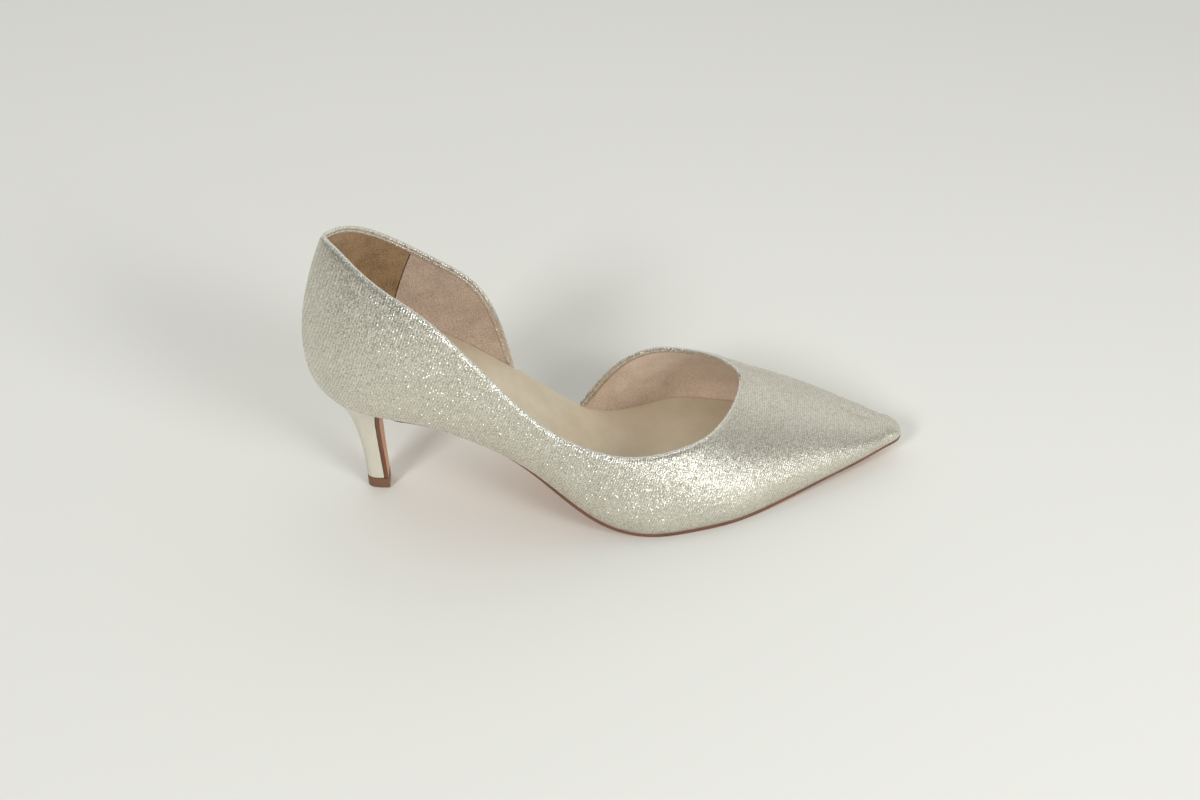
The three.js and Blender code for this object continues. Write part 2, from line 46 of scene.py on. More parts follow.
# the last: the form that every piece of the shoe follows
last = {
    "length": 242.3,
    "ballWidth": 77.7,
    "seatHeight": 59.5,
    "heelBack": -20.8,
    "wall": 1.8,
    "heelSwell": 5,
    "ballSwell": 2.5,
    "heelSwellHeight": 38,
    "ballSwellHeight": 10,
    "heelFullness": 1.3,
    "ballFullness": 1,
    "heelRidgeSetback": 34,
    "toeRidgeSetback": 13,
    "ridgeTop": 150,
    "heelRidgeTo": 0.35,  # shares of the length from here on
    "toeRidgeFrom": 0.8,
    "heelZoneTo": 0.12,  # up to here the wall is shaped as at the heel
    "ballZoneFrom": 0.57,  # and from here on as at the ball
    "toeFade": 0.06,  # the swell dies out over this much before the toe
    # share of the length, rise, outer side, inner side
    "feather": [
        (0, 1, 0, 0), (0.02, 1, -0.138, 0.115), (0.06, 1, -0.27, 0.25),
        (0.12, 1, -0.354, 0.345), (0.19, 0.942, -0.381, 0.368), (0.27, 0.774, -0.384, 0.34),
        (0.36, 0.51, -0.41, 0.311), (0.45, 0.192, -0.479, 0.352), (0.54, 0.051, -0.51, 0.468),
        (0.62, 0.045, -0.479, 0.54), (0.69, 0.045, -0.42, 0.508), (0.77, 0.066, -0.308, 0.45),
        (0.85, 0.1, -0.181, 0.361), (0.92, 0.127, -0.068, 0.273), (0.97, 0.155, 0.019, 0.21),
        (0.992, 0.174, 0.054, 0.18), (1, 0.187, 0.107, 0.107),
    ],
    # share of the length, share of the ridge top, side
    "ridge": [
        (0, 1.04, 0), (0.006, 1.04, 0), (0.024, 1.041, 0), (0.055, 1.044, 0),
        (0.095, 1.044, 0), (0.146, 1.029, 0), (0.2, 1, 0), (0.35, 0.833, 0.01),
        (0.5, 0.543, 0.05), (0.6, 0.405, 0.074), (0.7, 0.312, 0.102), (0.8, 0.243, 0.123),
        (0.9, 0.168, 0.127), (0.94, 0.139, 0.125), (0.97, 0.125, 0.124), (0.99, 0.121, 0.122),
        (1, 0.12, 0.12),
    ],
    # share of the length, way round the last, and where not the same, the share at its foot
    "collar": [
        (-0.325, 0.04), (-0.316, 0.123), (-0.299, 0.229), (-0.265, 0.31), (-0.21, 0.342),
        (-0.15, 0.39), (-0.08, 0.47), (-0.025, 0.532), (0, 0.552), (0.025, 0.553),
        (0.07, 0.522), (0.13, 0.469), (0.2, 0.413), (0.28, 0.315), (0.36, 0.24), (0.44, 0.27),
        (0.52, 0.338), (0.59, 0.426, 0.6), (0.65, 0.549, 0.675), (0.693, 0.77, 0.73),
        (0.708, 1, 0.765), (0.693, 1.165, 0.73), (0.65, 1.415, 0.675), (0.59, 1.532, 0.6),
        (0.53, 1.655), (0.486, 1.795), (0.457, 1.905), (0.439, 1.965),
    ],
    "throatRow": 20,
}


def smoothCurve(knots, values):
    # natural cubic through the knots, flat beyond them
    knots, values = np.array(knots, float), np.array(values, float)
    step = np.diff(knots)
    slope = np.diff(values) / step
    count = len(knots)
    matrix, right = np.eye(count), np.zeros(count)
    for i in range(1, count - 1):
        matrix[i, i - 1:i + 2] = step[i - 1], 2 * (step[i - 1] + step[i]), step[i]
        right[i] = 6 * (slope[i] - slope[i - 1])
    bend = np.linalg.solve(matrix, right)

    def at(q):
        q = np.clip(q, knots[0], knots[-1])
        i = np.clip(np.searchsorted(knots, q, side="right") - 1, 0, count - 2)
        h = step[i]
        a, b = (knots[i + 1] - q) / h, (q - knots[i]) / h
        curve = (a ** 3 - a) * bend[i] + (b ** 3 - b) * bend[i + 1]
        return a * values[i] + b * values[i + 1] + curve * h * h / 6

    return at


def turnOf(along):
    along = np.asarray(along, float)
    return np.where(along < 0, -1.0, 1.0) * np.arccos(1 - 2 * np.abs(along)) / np.pi


def alongOf(turn):
    return (1 - np.cos(np.pi * turn)) / 2


def ease(s):
    s = np.clip(s, 0, 1)
    return s * s * (3 - 2 * s)


def mix(a, b, s):
    return a + (b - a) * s


def tableCurves(rows, knotsOf=np.array):
    # a curve for each column after the first, over the first
    first, *others = zip(*rows)
    return [smoothCurve(knotsOf(first), column) for column in others]


featherRise, featherOuter, featherInner = tableCurves(last["feather"], turnOf)
ridgeHeight, ridgeSide = tableCurves(last["ridge"], turnOf)
collarAlongRow, collarAroundRow = zip(*(row[:2] for row in last["collar"]))
collarFootRow = [row[2] if len(row) > 2 else row[0] for row in last["collar"]]
collarSteps = np.arange(len(collarAlongRow))
collarTurn = smoothCurve(collarSteps, turnOf(collarAlongRow))
collarAround = smoothCurve(collarSteps, collarAroundRow)
collarFoot = smoothCurve(collarSteps, turnOf(collarFootRow))
throatStep = last["throatRow"]
lastStep = len(collarAlongRow) - 1


def featherPoint(turn, side):
    across = np.where(side < 0, featherOuter(turn), featherInner(turn))
    x = last["heelBack"] + last["length"] * alongOf(turn)
    height = featherRise(turn) * last["seatHeight"]
    return np.stack([x, across * last["ballWidth"], height], -1)


def ridgePoint(turn):
    along = alongOf(turn)
    toeFrom = last["toeRidgeFrom"]
    heelShare = np.clip(1 - along / last["heelRidgeTo"], 0, 1)
    toeShare = np.clip((along - toeFrom) / (1 - toeFrom), 0, 1)
    x = last["heelBack"] + last["length"] * along
    x = x + last["heelRidgeSetback"] * heelShare ** 2
    x = x - last["toeRidgeSetback"] * toeShare ** 2
    height = ridgeHeight(turn) * last["ridgeTop"]
    return np.stack([x, ridgeSide(turn) * last["ballWidth"], height], -1)


def bodyPoint(turn, side, around):
    # outside of the upper, from the feather line (0) to the ridge over the foot (1)
    turn, side, around = np.broadcast_arrays(turn, side, around)
    foot, ridge = featherPoint(turn, side), ridgePoint(turn)
    along = alongOf(turn)
    heelTo, ballFrom = last["heelZoneTo"], last["ballZoneFrom"]
    ball = ease((along - heelTo) / (ballFrom - heelTo))
    fullness = mix(last["heelFullness"], last["ballFullness"], ball)
    around = np.clip(around, 0, 1)
    angle = around * np.pi / 2
    inward = np.maximum(np.cos(angle), 0) ** fullness
    height = (ridge[..., 2] - foot[..., 2]) * np.sin(angle) ** fullness
    fade = np.clip((1 - along) / last["toeFade"], 0, 1)
    peak = mix(last["heelSwellHeight"], last["ballSwellHeight"], ball)
    hump = height / peak * np.exp(1 - height / peak) * (1 - around ** 6)
    swell = mix(last["heelSwell"], last["ballSwell"], ball) * fade * hump
    way = foot[..., :2] - ridge[..., :2]
    reach = np.maximum(np.linalg.norm(way, axis=-1), 1e-6)
    flat = ridge[..., :2] + way * (inward + swell / reach)[..., None]
    return np.concatenate([flat, (foot[..., 2] + height)[..., None]], -1)


def unit(v):
    return v / np.maximum(np.linalg.norm(v, axis=-1, keepdims=True), 1e-12)


def bodyNormal(turn, side, around):
    turn, side, around = np.broadcast_arrays(turn, side, around)
    step, rim = 0.002, 1e-6

    def oneSide(s):
        t0, t1 = np.clip(turn - step, 0, 1), np.clip(turn + step, 0, 1)
        a0, a1 = np.clip(around - step, 0, 1), np.clip(around + step, 0, 1)
        forward = bodyPoint(t1, s, around) - bodyPoint(t0, s, around)
        up = bodyPoint(turn, s, a1) - bodyPoint(turn, s, a0)
        return unit(np.cross(forward, up) * -s[..., None])

    normal = oneSide(side)
    # where both sides meet, their normals are shared
    shared = (turn < rim) | (turn > 1 - rim) | (around > 1 - rim)
    return np.where(shared[..., None], unit(normal + oneSide(-side)), normal)


def collarColumns(steps):
    # foot, top, side and way round of the wall columns that end on the collar
    turn, around, foot = collarTurn(steps), collarAround(steps), collarFoot(steps)
    side = np.where((turn < -1e-9) | (around > 1 + 1e-9), 1.0, -1.0)
    return np.stack([np.abs(foot), np.abs(turn), side, np.where(around > 1, 2 - around, around)], 1)


def vampColumns(shares, side):
    foot = mix(abs(float(collarFoot(throatStep))), 1, shares)
    top = mix(abs(float(collarTurn(throatStep))), 1, shares)
    return np.stack([foot, top, side + 0 * shares, 1 + 0 * shares], 1)


def layWall(columns, shares, footGap=0.0, topGap=0.0, samples=81, mostGap=0.3):
    # spots at even lengths up each column, leaving a gap in mm at its foot and top,
    # but never more than a share of the column
    foot, top, side, reach = (columns[:, i:i + 1] for i in range(4))
    v = np.linspace(0, 1, samples)[None, :]
    path = bodyPoint(mix(foot, top, v), side, reach * v)
    runs = np.linalg.norm(np.diff(path, axis=1), axis=2)
    lengths = np.concatenate([np.zeros((len(columns), 1)), np.cumsum(runs, axis=1)], 1)
    whole = lengths[:, -1:]
    footGap, topGap = np.minimum(footGap, mostGap * whole), np.minimum(topGap, mostGap * whole)
    wanted = footGap + (whole - footGap - topGap) * shares[None, :]
    at = np.stack([np.interp(w, l, v[0]) for w, l in zip(wanted, lengths)])
    turn, around = mix(foot, top, at), reach * at
    return {
        "base": bodyPoint(turn, side, around),
        "normal": bodyNormal(turn, side, around),
        "up": wanted,
        "down": whole - wanted,
        "side": side + 0 * at,
    }


def offset(wall, depth):
    depth = np.broadcast_to(depth, wall["up"].shape)
    return wall["base"] - wall["normal"] * depth[..., None]


def bottomHeight(x):
    along = np.clip((x - last["heelBack"]) / last["length"], 0, 1)
    return featherRise(turnOf(along)) * last["seatHeight"]


def bottomSlope(x):
    return bottomHeight(x + 0.5) - bottomHeight(x - 0.5)


def writePiece(name, places, faces, materials, sharp=40, merge=0.002):
    # places in mm; doubles merged, faces turned outwards, smooth up to the sharp angle
    mesh = bpy.data.meshes.new(name)
    mesh.from_pydata((np.asarray(places, float) * mm).tolist(), [], faces)
    form = bmesh.new()
    form.from_mesh(mesh)
    bmesh.ops.remove_doubles(form, verts=form.verts, dist=merge * mm)
    bmesh.ops.dissolve_degenerate(form, edges=form.edges, dist=merge * mm * 0.1)
    if form.calc_volume(signed=True) < 0:
        bmesh.ops.reverse_faces(form, faces=form.faces)
    form.to_mesh(mesh)
    form.free()
    mesh.shade_smooth()
    mesh.set_sharp_from_angle(angle=math.radians(sharp))
    for material in materials:
        mesh.materials.append(material)
    piece = bpy.data.objects.new(name, mesh)
    scene.collection.objects.link(piece)
    return piece


def shellFaces(columns, rows, openTop=None):
    # closed wall between an outer and an inner grid; no rim where both sides meet
    count = columns * rows
    faces = []
    for i in range(columns - 1):
        for j in range(rows - 1):
            a, b = i * rows + j, (i + 1) * rows + j
            faces.append((a, b, b + 1, a + 1))
            faces.append((count + a, count + a + 1, count + b + 1, count + b))
        a, b = i * rows, (i + 1) * rows
        faces.append((a, count + a, count + b, b))
        if openTop is None or not openTop[0] <= i < openTop[1]:
            a, b = a + rows - 1, b + rows - 1
            faces.append((a, b, count + b, count + a))
    far = (columns - 1) * rows
    for j in range(rows - 1):
        faces.append((j, j + 1, count + j + 1, count + j))
        faces.append((far + j, count + far + j, count + far + j + 1, far + j + 1))
    return faces


def shellPiece(name, outer, inner, materials, openTop=None, sharp=40):
    places = np.concatenate([outer.reshape(-1, 3), inner.reshape(-1, 3)])
    return writePiece(name, places, shellFaces(*outer.shape[:2], openTop), materials, sharp)


def addNode(tree, kind, inputs=None, **settings):
    # a node given as an input stands for its first output
    node = tree.nodes.new(kind)
    for key, value in settings.items():
        setattr(node, key, value)
    for key, value in (inputs or {}).items():
        if isinstance(value, bpy.types.Node):
            value = value.outputs[0]
        if isinstance(value, bpy.types.NodeSocket):
            tree.links.new(value, node.inputs[key])
        else:
            node.inputs[key].default_value = value
    return node


def vectorNode(tree, operation, inputs):
    return addNode(tree, "ShaderNodeVectorMath", inputs, operation=operation)


def startMaterial(name):
    # a material with its output, and Object coordinates in millimetres
    material = bpy.data.materials.new(name)
    material.use_nodes = True
    tree = material.node_tree
    tree.nodes.clear()
    place = addNode(tree, "ShaderNodeTexCoord")
    inMm = vectorNode(tree, "SCALE", {0: place.outputs["Object"], "Scale": 1 / mm})
    return material, tree, inMm


def finishMaterial(tree, inputs):
    shader = addNode(tree, "ShaderNodeBsdfPrincipled", inputs)
    addNode(tree, "ShaderNodeOutputMaterial", {"Surface": shader})


def noiseAt(tree, place, size, detail=3, rough=0.5, squeeze=(1, 1, 1)):
    # noise whose lumps are about size mm across
    laid = addNode(tree, "ShaderNodeMapping", {"Vector": place, "Scale": squeeze})
    noise = addNode(tree, "ShaderNodeTexNoise", {
        "Vector": laid, "Scale": 1 / size, "Detail": detail, "Roughness": rough})
    return noise.outputs["Fac"]


def mathNode(tree, operation, *values, clamp=False):
    inputs = dict(enumerate(values))
    return addNode(tree, "ShaderNodeMath", inputs, operation=operation, use_clamp=clamp).outputs[0]


def rampNode(tree, value, low, high, toLow=0.0, toHigh=1.0):
    return addNode(tree, "ShaderNodeMapRange", {
        "Value": value, "From Min": low, "From Max": high, "To Min": toLow, "To Max": toHigh},
        interpolation_type="SMOOTHSTEP").outputs["Result"]


def blendColour(tree, share, a, b):
    return addNode(tree, "ShaderNodeMix", {0: share, 6: a, 7: b}, data_type="RGBA").outputs[2]


def alongShoe(tree, place, low, high, toLow, toHigh):
    # a value that changes from one x in mm to another
    x = addNode(tree, "ShaderNodeSeparateXYZ", {"Vector": place}).outputs["X"]
    return rampNode(tree, x, low, high, toLow, toHigh)


def bumpNode(tree, height, high, strength):
    return addNode(tree, "ShaderNodeBump", {
        "Height": height, "Distance": high * mm, "Strength": strength})


def rowsAt(tree, place, direction, pitch, wander, wanderSize=6):
    # 0 to 1 across ribs that stand at a pitch along a direction
    phase = vectorNode(tree, "DOT_PRODUCT", {0: place, 1: direction}).outputs["Value"]
    lean = mathNode(tree, "MULTIPLY", noiseAt(tree, place, wanderSize, 1), wander)
    turnRound = mathNode(tree, "MULTIPLY_ADD", phase, 2 * math.pi / pitch, lean)
    wave = mathNode(tree, "SINE", turnRound)
    return mathNode(tree, "MULTIPLY_ADD", wave, 0.5, 0.5)


glitterLook = {
    "flake": 0.25,  # mm across a flake
    "stretch": 0.6,  # flakes are this much longer along the ribs
    "tilt": (0.26, 0.95),  # how far the flattest and the steepest flakes lean
    "steepBias": 2.4,  # above 1, few flakes are steep
    "dark": (0.42, 0.395, 0.31, 1),
    "bright": (0.86, 0.84, 0.76, 1),
    "warm": (0.80, 0.72, 0.58, 1),
    "warmFrom": (0.72, 0.9),  # flakes turn warm over this part of their random values
    "warmMost": 0.6,
    "metalFrom": (0.05, 0.35),  # and metallic over this part
    "metal": (0.5, 0.92),
    "rough": (0.42, 0.18),
    "ribTurn": -21.0,  # degrees that the ribs lean towards the toe
    "ribPitch": 1.05,
    "ribHigh": 0.12,  # mm
    "ribDepth": 0.42,
    "ribTone": 0.30,
    "ribWander": 4.0,
    "patchSize": 22,  # mm across the slow changes of tone
    "patchTone": 0.06,
}


def makeGlitter(name, look):
    material, tree, place = startMaterial(name)
    laid = addNode(tree, "ShaderNodeMapping", {
        "Vector": place, "Rotation": (0, math.radians(look["ribTurn"]), 0)})
    slim = addNode(tree, "ShaderNodeMapping", {
        "Vector": laid, "Scale": (1, 1, look["stretch"])})
    cells = addNode(tree, "ShaderNodeTexVoronoi", {
        "Vector": slim, "Scale": 1 / look["flake"], "Randomness": 1.0})
    parts = addNode(tree, "ShaderNodeSeparateColor", {"Color": cells.outputs["Color"]})
    rib = rowsAt(tree, laid, (1, 0, 0), look["ribPitch"], look["ribWander"])
    # each flake leans its own way
    lean = vectorNode(tree, "SUBTRACT", {0: cells.outputs["Color"], 1: (0.5, 0.5, 0.5)})
    steep = mathNode(tree, "POWER", parts.outputs[1], look["steepBias"])
    steep = rampNode(tree, steep, 0, 1, *look["tilt"])
    leanBy = vectorNode(tree, "SCALE", {0: lean, "Scale": steep})
    ribbed = bumpNode(tree, rib, look["ribHigh"], look["ribDepth"])
    leaned = vectorNode(tree, "ADD", {0: ribbed, 1: leanBy})
    normal = vectorNode(tree, "NORMALIZE", {0: leaned})
    # flake tone, darker between the ribs, with slow changes over the cloth
    flakeTone = mathNode(tree, "MULTIPLY", parts.outputs[0], 1 - look["ribTone"])
    tone = mathNode(tree, "MULTIPLY_ADD", rib, look["ribTone"], flakeTone)
    patches = noiseAt(tree, place, look["patchSize"], 2)
    slow = rampNode(tree, patches, 0.3, 0.7, -look["patchTone"], look["patchTone"])
    tone = mathNode(tree, "ADD", tone, slow, clamp=True)
    colour = blendColour(tree, tone, look["dark"], look["bright"])
    warmShare = rampNode(tree, parts.outputs[2], *look["warmFrom"], 0, look["warmMost"])
    colour = blendColour(tree, warmShare, colour, look["warm"])
    metal = rampNode(tree, parts.outputs[2], *look["metalFrom"], *look["metal"])
    rough = rampNode(tree, parts.outputs[0], 0.0, 1.0, *look["rough"])
    finishMaterial(tree, {
        "Base Color": colour, "Metallic": metal, "Roughness": rough, "Normal": normal})
    return material


heelClothLook = {
    "light": (0.66, 0.62, 0.52, 1),
    "dark": (0.56, 0.52, 0.43, 1),
    "thread": 0.5,  # mm from thread to thread
    "warp": (0.7, 0.7, 0.0),
    "weft": (0.05, 0.05, 1.0),
    "wander": 3,
    "mottleSize": 1.6,
    "mottle": 0.8,
    "high": 0.06,
    "depth": 0.7,
    "roughFrom": (0.3, 0.7),
    "rough": (0.62, 0.48),
    "sheen": 0.25,
}


def finishPlain(tree, look, tone, roughBy, height, more):
    # the parts that every material but the glitter shares
    finishMaterial(tree, {
        "Base Color": blendColour(tree, tone, look["dark"], look["light"]),
        "Roughness": rampNode(tree, roughBy, *look["roughFrom"], *look["rough"]),
        "Normal": bumpNode(tree, height, look["high"], look["depth"]), **more})


def makeHeelCloth(name, look):
    # plain woven cloth, drawn tight and dull
    material, tree, place = startMaterial(name)
    across = rowsAt(tree, place, look["warp"], look["thread"], look["wander"])
    down = rowsAt(tree, place, look["weft"], look["thread"], look["wander"])
    weave = mathNode(tree, "MULTIPLY", across, down)
    mottled = noiseAt(tree, place, look["mottleSize"], 4, 0.65, (1, 1, 0.5))
    uneven = mathNode(tree, "MULTIPLY", mottled, look["mottle"])
    tone = mathNode(tree, "MULTIPLY_ADD", weave, 0.35, uneven, clamp=True)
    height = mathNode(tree, "ADD", weave, uneven)
    finishPlain(tree, look, tone, mottled, height, {
        "Sheen Weight": look["sheen"], "Sheen Roughness": 0.4})
    return material


plainSuede = {
    "nap": 0.5,
    "napSize": 0.45,  # mm
    "patchSize": 9,
    "creaseSize": 4.5,
    "high": 0.14,
    "depth": 0.8,
    "roughFrom": (0.3, 0.7),
    "rough": (0.92, 0.78),
    "sheen": 0.3,
    "vampRun": (60, 120),  # the tone changes from one x in mm to the other: painted shade on the quarter, painted light towards the vamp
    "shadeAndLightToVamp": (0, 0),
}
suedeLook = {
    "quarter": {**plainSuede, "light": (0.80, 0.64, 0.51, 1), "dark": (0.47, 0.35, 0.26, 1),
                "shadeAndLightToVamp": (-0.24, 0.3)},
    "counter": {**plainSuede, "light": (0.46, 0.295, 0.145, 1), "dark": (0.20, 0.112, 0.049, 1),
                "nap": 0.4},
    "edge": {**plainSuede, "light": (0.50, 0.37, 0.27, 1), "dark": (0.40, 0.28, 0.19, 1),
             "depth": 0.4},
}


def makeSuede(name, look):
    # short nap, brushed lighter and darker in patches
    material, tree, place = startMaterial(name)
    patches = noiseAt(tree, place, look["patchSize"], 4, 0.6)
    nap = rampNode(tree, noiseAt(tree, place, look["napSize"], 2, 0.7), 0.36, 0.64)
    creases = noiseAt(tree, place, look["creaseSize"], 3, 0.55, (0.45, 1, 1.4))
    brushed = mathNode(tree, "MULTIPLY", patches, 0.8)
    tone = rampNode(tree, mathNode(tree, "MULTIPLY_ADD", nap, look["nap"], brushed), 0.25, 1.0)
    # painted shade on the quarter, painted light towards the vamp
    change = alongShoe(tree, place, *look["vampRun"], *look["shadeAndLightToVamp"])
    tone = mathNode(tree, "ADD", tone, change, clamp=True)
    height = mathNode(tree, "MULTIPLY_ADD", creases, 2.5, mathNode(tree, "MULTIPLY", nap, 0.35))
    finishPlain(tree, look, tone, patches, height, {
        "Sheen Weight": look["sheen"], "Sheen Roughness": 0.5})
    return material


plainLeather = {
    "grain": 0.5,  # mm across a pore
    "fineSize": 0.8,
    "wornSize": 14,
    "high": 0.05,
    "depth": 0.3,
    "roughFrom": (0.3, 0.7),
    "rough": (0.5, 0.36),
    "coat": 0.1,
    "mottle": 0.5,  # how far worn and fine spots change the tone
    "toeRun": (60, 115),  # x in mm over which the tone changes towards the toe: painted shade towards the heel, painted light towards the toe
    "shadeAndLightToToe": (0, 0),
    "vampRun": (118, 160),  # and over which painted shade darkens it under the vamp
    "paintedShadeUnderVamp": 0,
}
leatherLook = {
    "insole": {**plainLeather, "light": (0.86, 0.765, 0.585, 1), "dark": (0.56, 0.475, 0.34, 1),
               "grain": 0.9, "depth": 0.25, "rough": (0.52, 0.40), "coat": 0.08,
               "mottle": 0.2, "shadeAndLightToToe": (-0.3, 0.22), "paintedShadeUnderVamp": -0.6},
    "sole": {**plainLeather, "light": (0.62, 0.315, 0.14, 1), "dark": (0.47, 0.225, 0.095, 1),
             "grain": 0.7, "depth": 0.35, "rough": (0.5, 0.34), "coat": 0.15},
    "soleEdge": {**plainLeather, "light": (0.19, 0.072, 0.036, 1), "dark": (0.12, 0.045, 0.022, 1)},
    "seam": {**plainLeather, "light": (0.10, 0.052, 0.026, 1), "dark": (0.06, 0.03, 0.015, 1),
             "rough": (0.7, 0.55), "coat": 0.0},
}


def makeLeather(name, look):
    material, tree, place = startMaterial(name)
    grain = addNode(tree, "ShaderNodeTexVoronoi", {
        "Vector": place, "Scale": 1 / look["grain"], "Randomness": 1.0},
        feature="DISTANCE_TO_EDGE")
    pores = rampNode(tree, grain.outputs["Distance"], 0.0, 0.25)
    worn = noiseAt(tree, place, look["wornSize"], 4, 0.55)
    fine = noiseAt(tree, place, look["fineSize"], 3, 0.6)
    tone = mathNode(tree, "MULTIPLY_ADD", fine, 0.35, mathNode(tree, "MULTIPLY", worn, 0.75))
    tone = rampNode(tree, tone, 0.3, 0.85, 0.5 - look["mottle"], 0.5 + look["mottle"])
    # painted shade at the heel end, painted light towards the toe
    shadeAndLightToToe = alongShoe(tree, place, *look["toeRun"], *look["shadeAndLightToToe"])
    # painted shade under the vamp
    shaded = alongShoe(tree, place, *look["vampRun"], 0, look["paintedShadeUnderVamp"])
    tone = mathNode(tree, "ADD", mathNode(tree, "ADD", tone, shadeAndLightToToe), shaded, clamp=True)
    height = mathNode(tree, "MULTIPLY_ADD", pores, 0.6, mathNode(tree, "MULTIPLY", fine, 0.5))
    finishPlain(tree, look, tone, worn, height, {
        "Coat Weight": look["coat"], "Coat Roughness": 0.35})
    return material


rubberLook = {
    "light": (0.21, 0.108, 0.06, 1),
    "dark": (0.15, 0.074, 0.04, 1),
    "speckle": 0.3,  # mm
    "scuffTo": 1.4,  # mm over the ground
    "scuff": 0.5,
    "high": 0.05,
    "depth": 0.5,
    "roughFrom": (0, 1),
    "rough": (0.45, 0.62),
}


def makeRubber(name, look):
    # moulded wear block: fine speckle, scuffed lighter where it has touched the ground
    material, tree, place = startMaterial(name)
    speckle = noiseAt(tree, place, look["speckle"], 3, 0.7)
    height = addNode(tree, "ShaderNodeSeparateXYZ", {"Vector": place}).outputs["Z"]
    scuff = rampNode(tree, height, look["scuffTo"], 0.0, 0, look["scuff"])
    tone = mathNode(tree, "MULTIPLY_ADD", speckle, 0.8, scuff, clamp=True)
    finishPlain(tree, look, tone, tone, speckle, {})
    return material


glitterCloth = makeGlitter("glitterCloth", glitterLook)
# over a folded edge the flakes stand open and catch more light; its colours are also painted
# lighter, a painted highlight
rolledGlitterPaintedHighlight = makeGlitter("rolledGlitterPaintedHighlight", {
    **glitterLook, "tilt": (0.5, 1.3), "rough": (0.36, 0.16),
    "dark": (0.62, 0.60, 0.53, 1), "bright": (0.94, 0.93, 0.88, 1)})
heelCloth = makeHeelCloth("heelCloth", heelClothLook)
quarterSuede = makeSuede("quarterSuede", suedeLook["quarter"])
counterSuede = makeSuede("counterSuede", suedeLook["counter"])
edgeSuede = makeSuede("edgeSuede", suedeLook["edge"])
insoleLeather = makeLeather("insoleLeather", leatherLook["insole"])
soleLeather = makeLeather("soleLeather", leatherLook["sole"])
soleEdgeLeather = makeLeather("soleEdgeLeather", leatherLook["soleEdge"])
seamLeather = makeLeather("seamLeather", leatherLook["seam"])
topPieceRubber = makeRubber("topPieceRubber", rubberLook)
print("materials made")


# the upper: glitter cloth over the last, linings inside
upperBuild = {
    "perStep": 9,  # columns of cloth for each row of the collar table
    "vamp": 56,  # columns from the throat to the toe tip, each side
    "vampBias": 0.85,  # below 1, they stand closer towards the tip
    "rows": 46,
    "clothDepth": 0.85,  # mm
    "topGap": 0.7,  # cloth ends this far under the collar, inside the roll
    "shoulder": 2.8,  # mm under the collar over which the cloth turns in
    "turnIn": 0.85,
}
wholeCollar = np.linspace(0, lastStep, lastStep * upperBuild["perStep"] + 1)
toThroat = wholeCollar[wholeCollar <= throatStep]
fromThroat = wholeCollar[wholeCollar > throatStep]
vampShares = (np.arange(1, upperBuild["vamp"] + 1) / upperBuild["vamp"]) ** upperBuild["vampBias"]
upperColumns = np.concatenate([
    collarColumns(toThroat),
    vampColumns(vampShares, -1.0),
    vampColumns(vampShares[-2::-1], 1.0),
    vampColumns(np.array([0.0]), 1.0),
    collarColumns(fromThroat),
])
ridgeSpan = (len(toThroat) - 1, len(toThroat) + 2 * len(vampShares) - 1)
evenRows = np.linspace(0, 1, upperBuild["rows"])
columnIndex = np.arange(len(upperColumns))
onRidge = (columnIndex >= ridgeSpan[0]) & (columnIndex <= ridgeSpan[1])


def layUpper(topGap):
    # the vamp's columns meet on the ridge, so they leave no gap there
    full = layWall(upperColumns, evenRows)
    return {
        key: np.where(onRidge.reshape((-1,) + (1,) * (value.ndim - 1)), full[key], value)
        for key, value in layWall(upperColumns, evenRows, topGap=topGap).items()
    }


clothWall = layUpper(upperBuild["topGap"])
shoulder = np.clip(1 - clothWall["down"] / upperBuild["shoulder"], 0, 1)
shoulder = np.where(onRidge[:, None], 0, shoulder)
clothDepth = upperBuild["turnIn"] * shoulder ** 2
cloth = shellPiece("upperCloth", offset(clothWall, clothDepth),
                   offset(clothWall, clothDepth + upperBuild["clothDepth"]),
                   [glitterCloth], ridgeSpan)
print("upper cloth", len(cloth.data.polygons))

liningBuild = {
    "from": 1.0,  # mm below the outside
    "topGap": 1.3,
    "wrinkle": 0.28,
    "wrinkleSize": 7.0,
    "wrinkleStart": 0.7,  # where the waves begin
    "calmFoot": 5,  # mm at the foot and the top over which the wrinkles die out
    "calmTop": 4,
    "calmRidge": 6,  # and none this near the vamp's ridge
    # soft creases inside the inner wing: x, height, turn in degrees, half length,
    # half width, rise in mm
    "creases": [
        (112, 15, -14, 9, 1.6, 0.35), (123, 24, -6, 8, 1.8, 0.30), (118, 19, 38, 10, 2.2, -0.35),
        (107, 20, 42, 7, 1.5, 0.25), (158, 12, 4, 10, 1.4, 0.35), (147, 17, 12, 8, 2.0, -0.25),
    ],
}


def softWrinkles(wall, size, start):
    # slow waves that lean with the cloth
    x, y, z = np.moveaxis(wall["base"], -1, 0)
    waves = np.sin(x / size + 0.6 * np.sin(z / (size * 1.7) + start) + start)
    waves += 0.6 * np.sin(z / (size * 0.8) - x / (size * 2.3) + 2.1 * start)
    return 0.5 + 0.3 * waves * np.sin(y / (size * 2.1) + start)


def laidCreases(wall, rows):
    # soft ridges on the inner side only, each along its own short line
    x, z = wall["base"][..., 0], wall["base"][..., 2]
    total = 0 * x
    for atX, atZ, turned, halfLong, halfWide, rise in rows:
        angle = math.radians(turned)
        alongIt = (x - atX) * math.cos(angle) + (z - atZ) * math.sin(angle)
        acrossIt = (z - atZ) * math.cos(angle) - (x - atX) * math.sin(angle)
        total = total + rise * np.exp(-(alongIt / halfLong) ** 2 - (acrossIt / halfWide) ** 2)
    return np.where(wall["side"] > 0, total, 0)


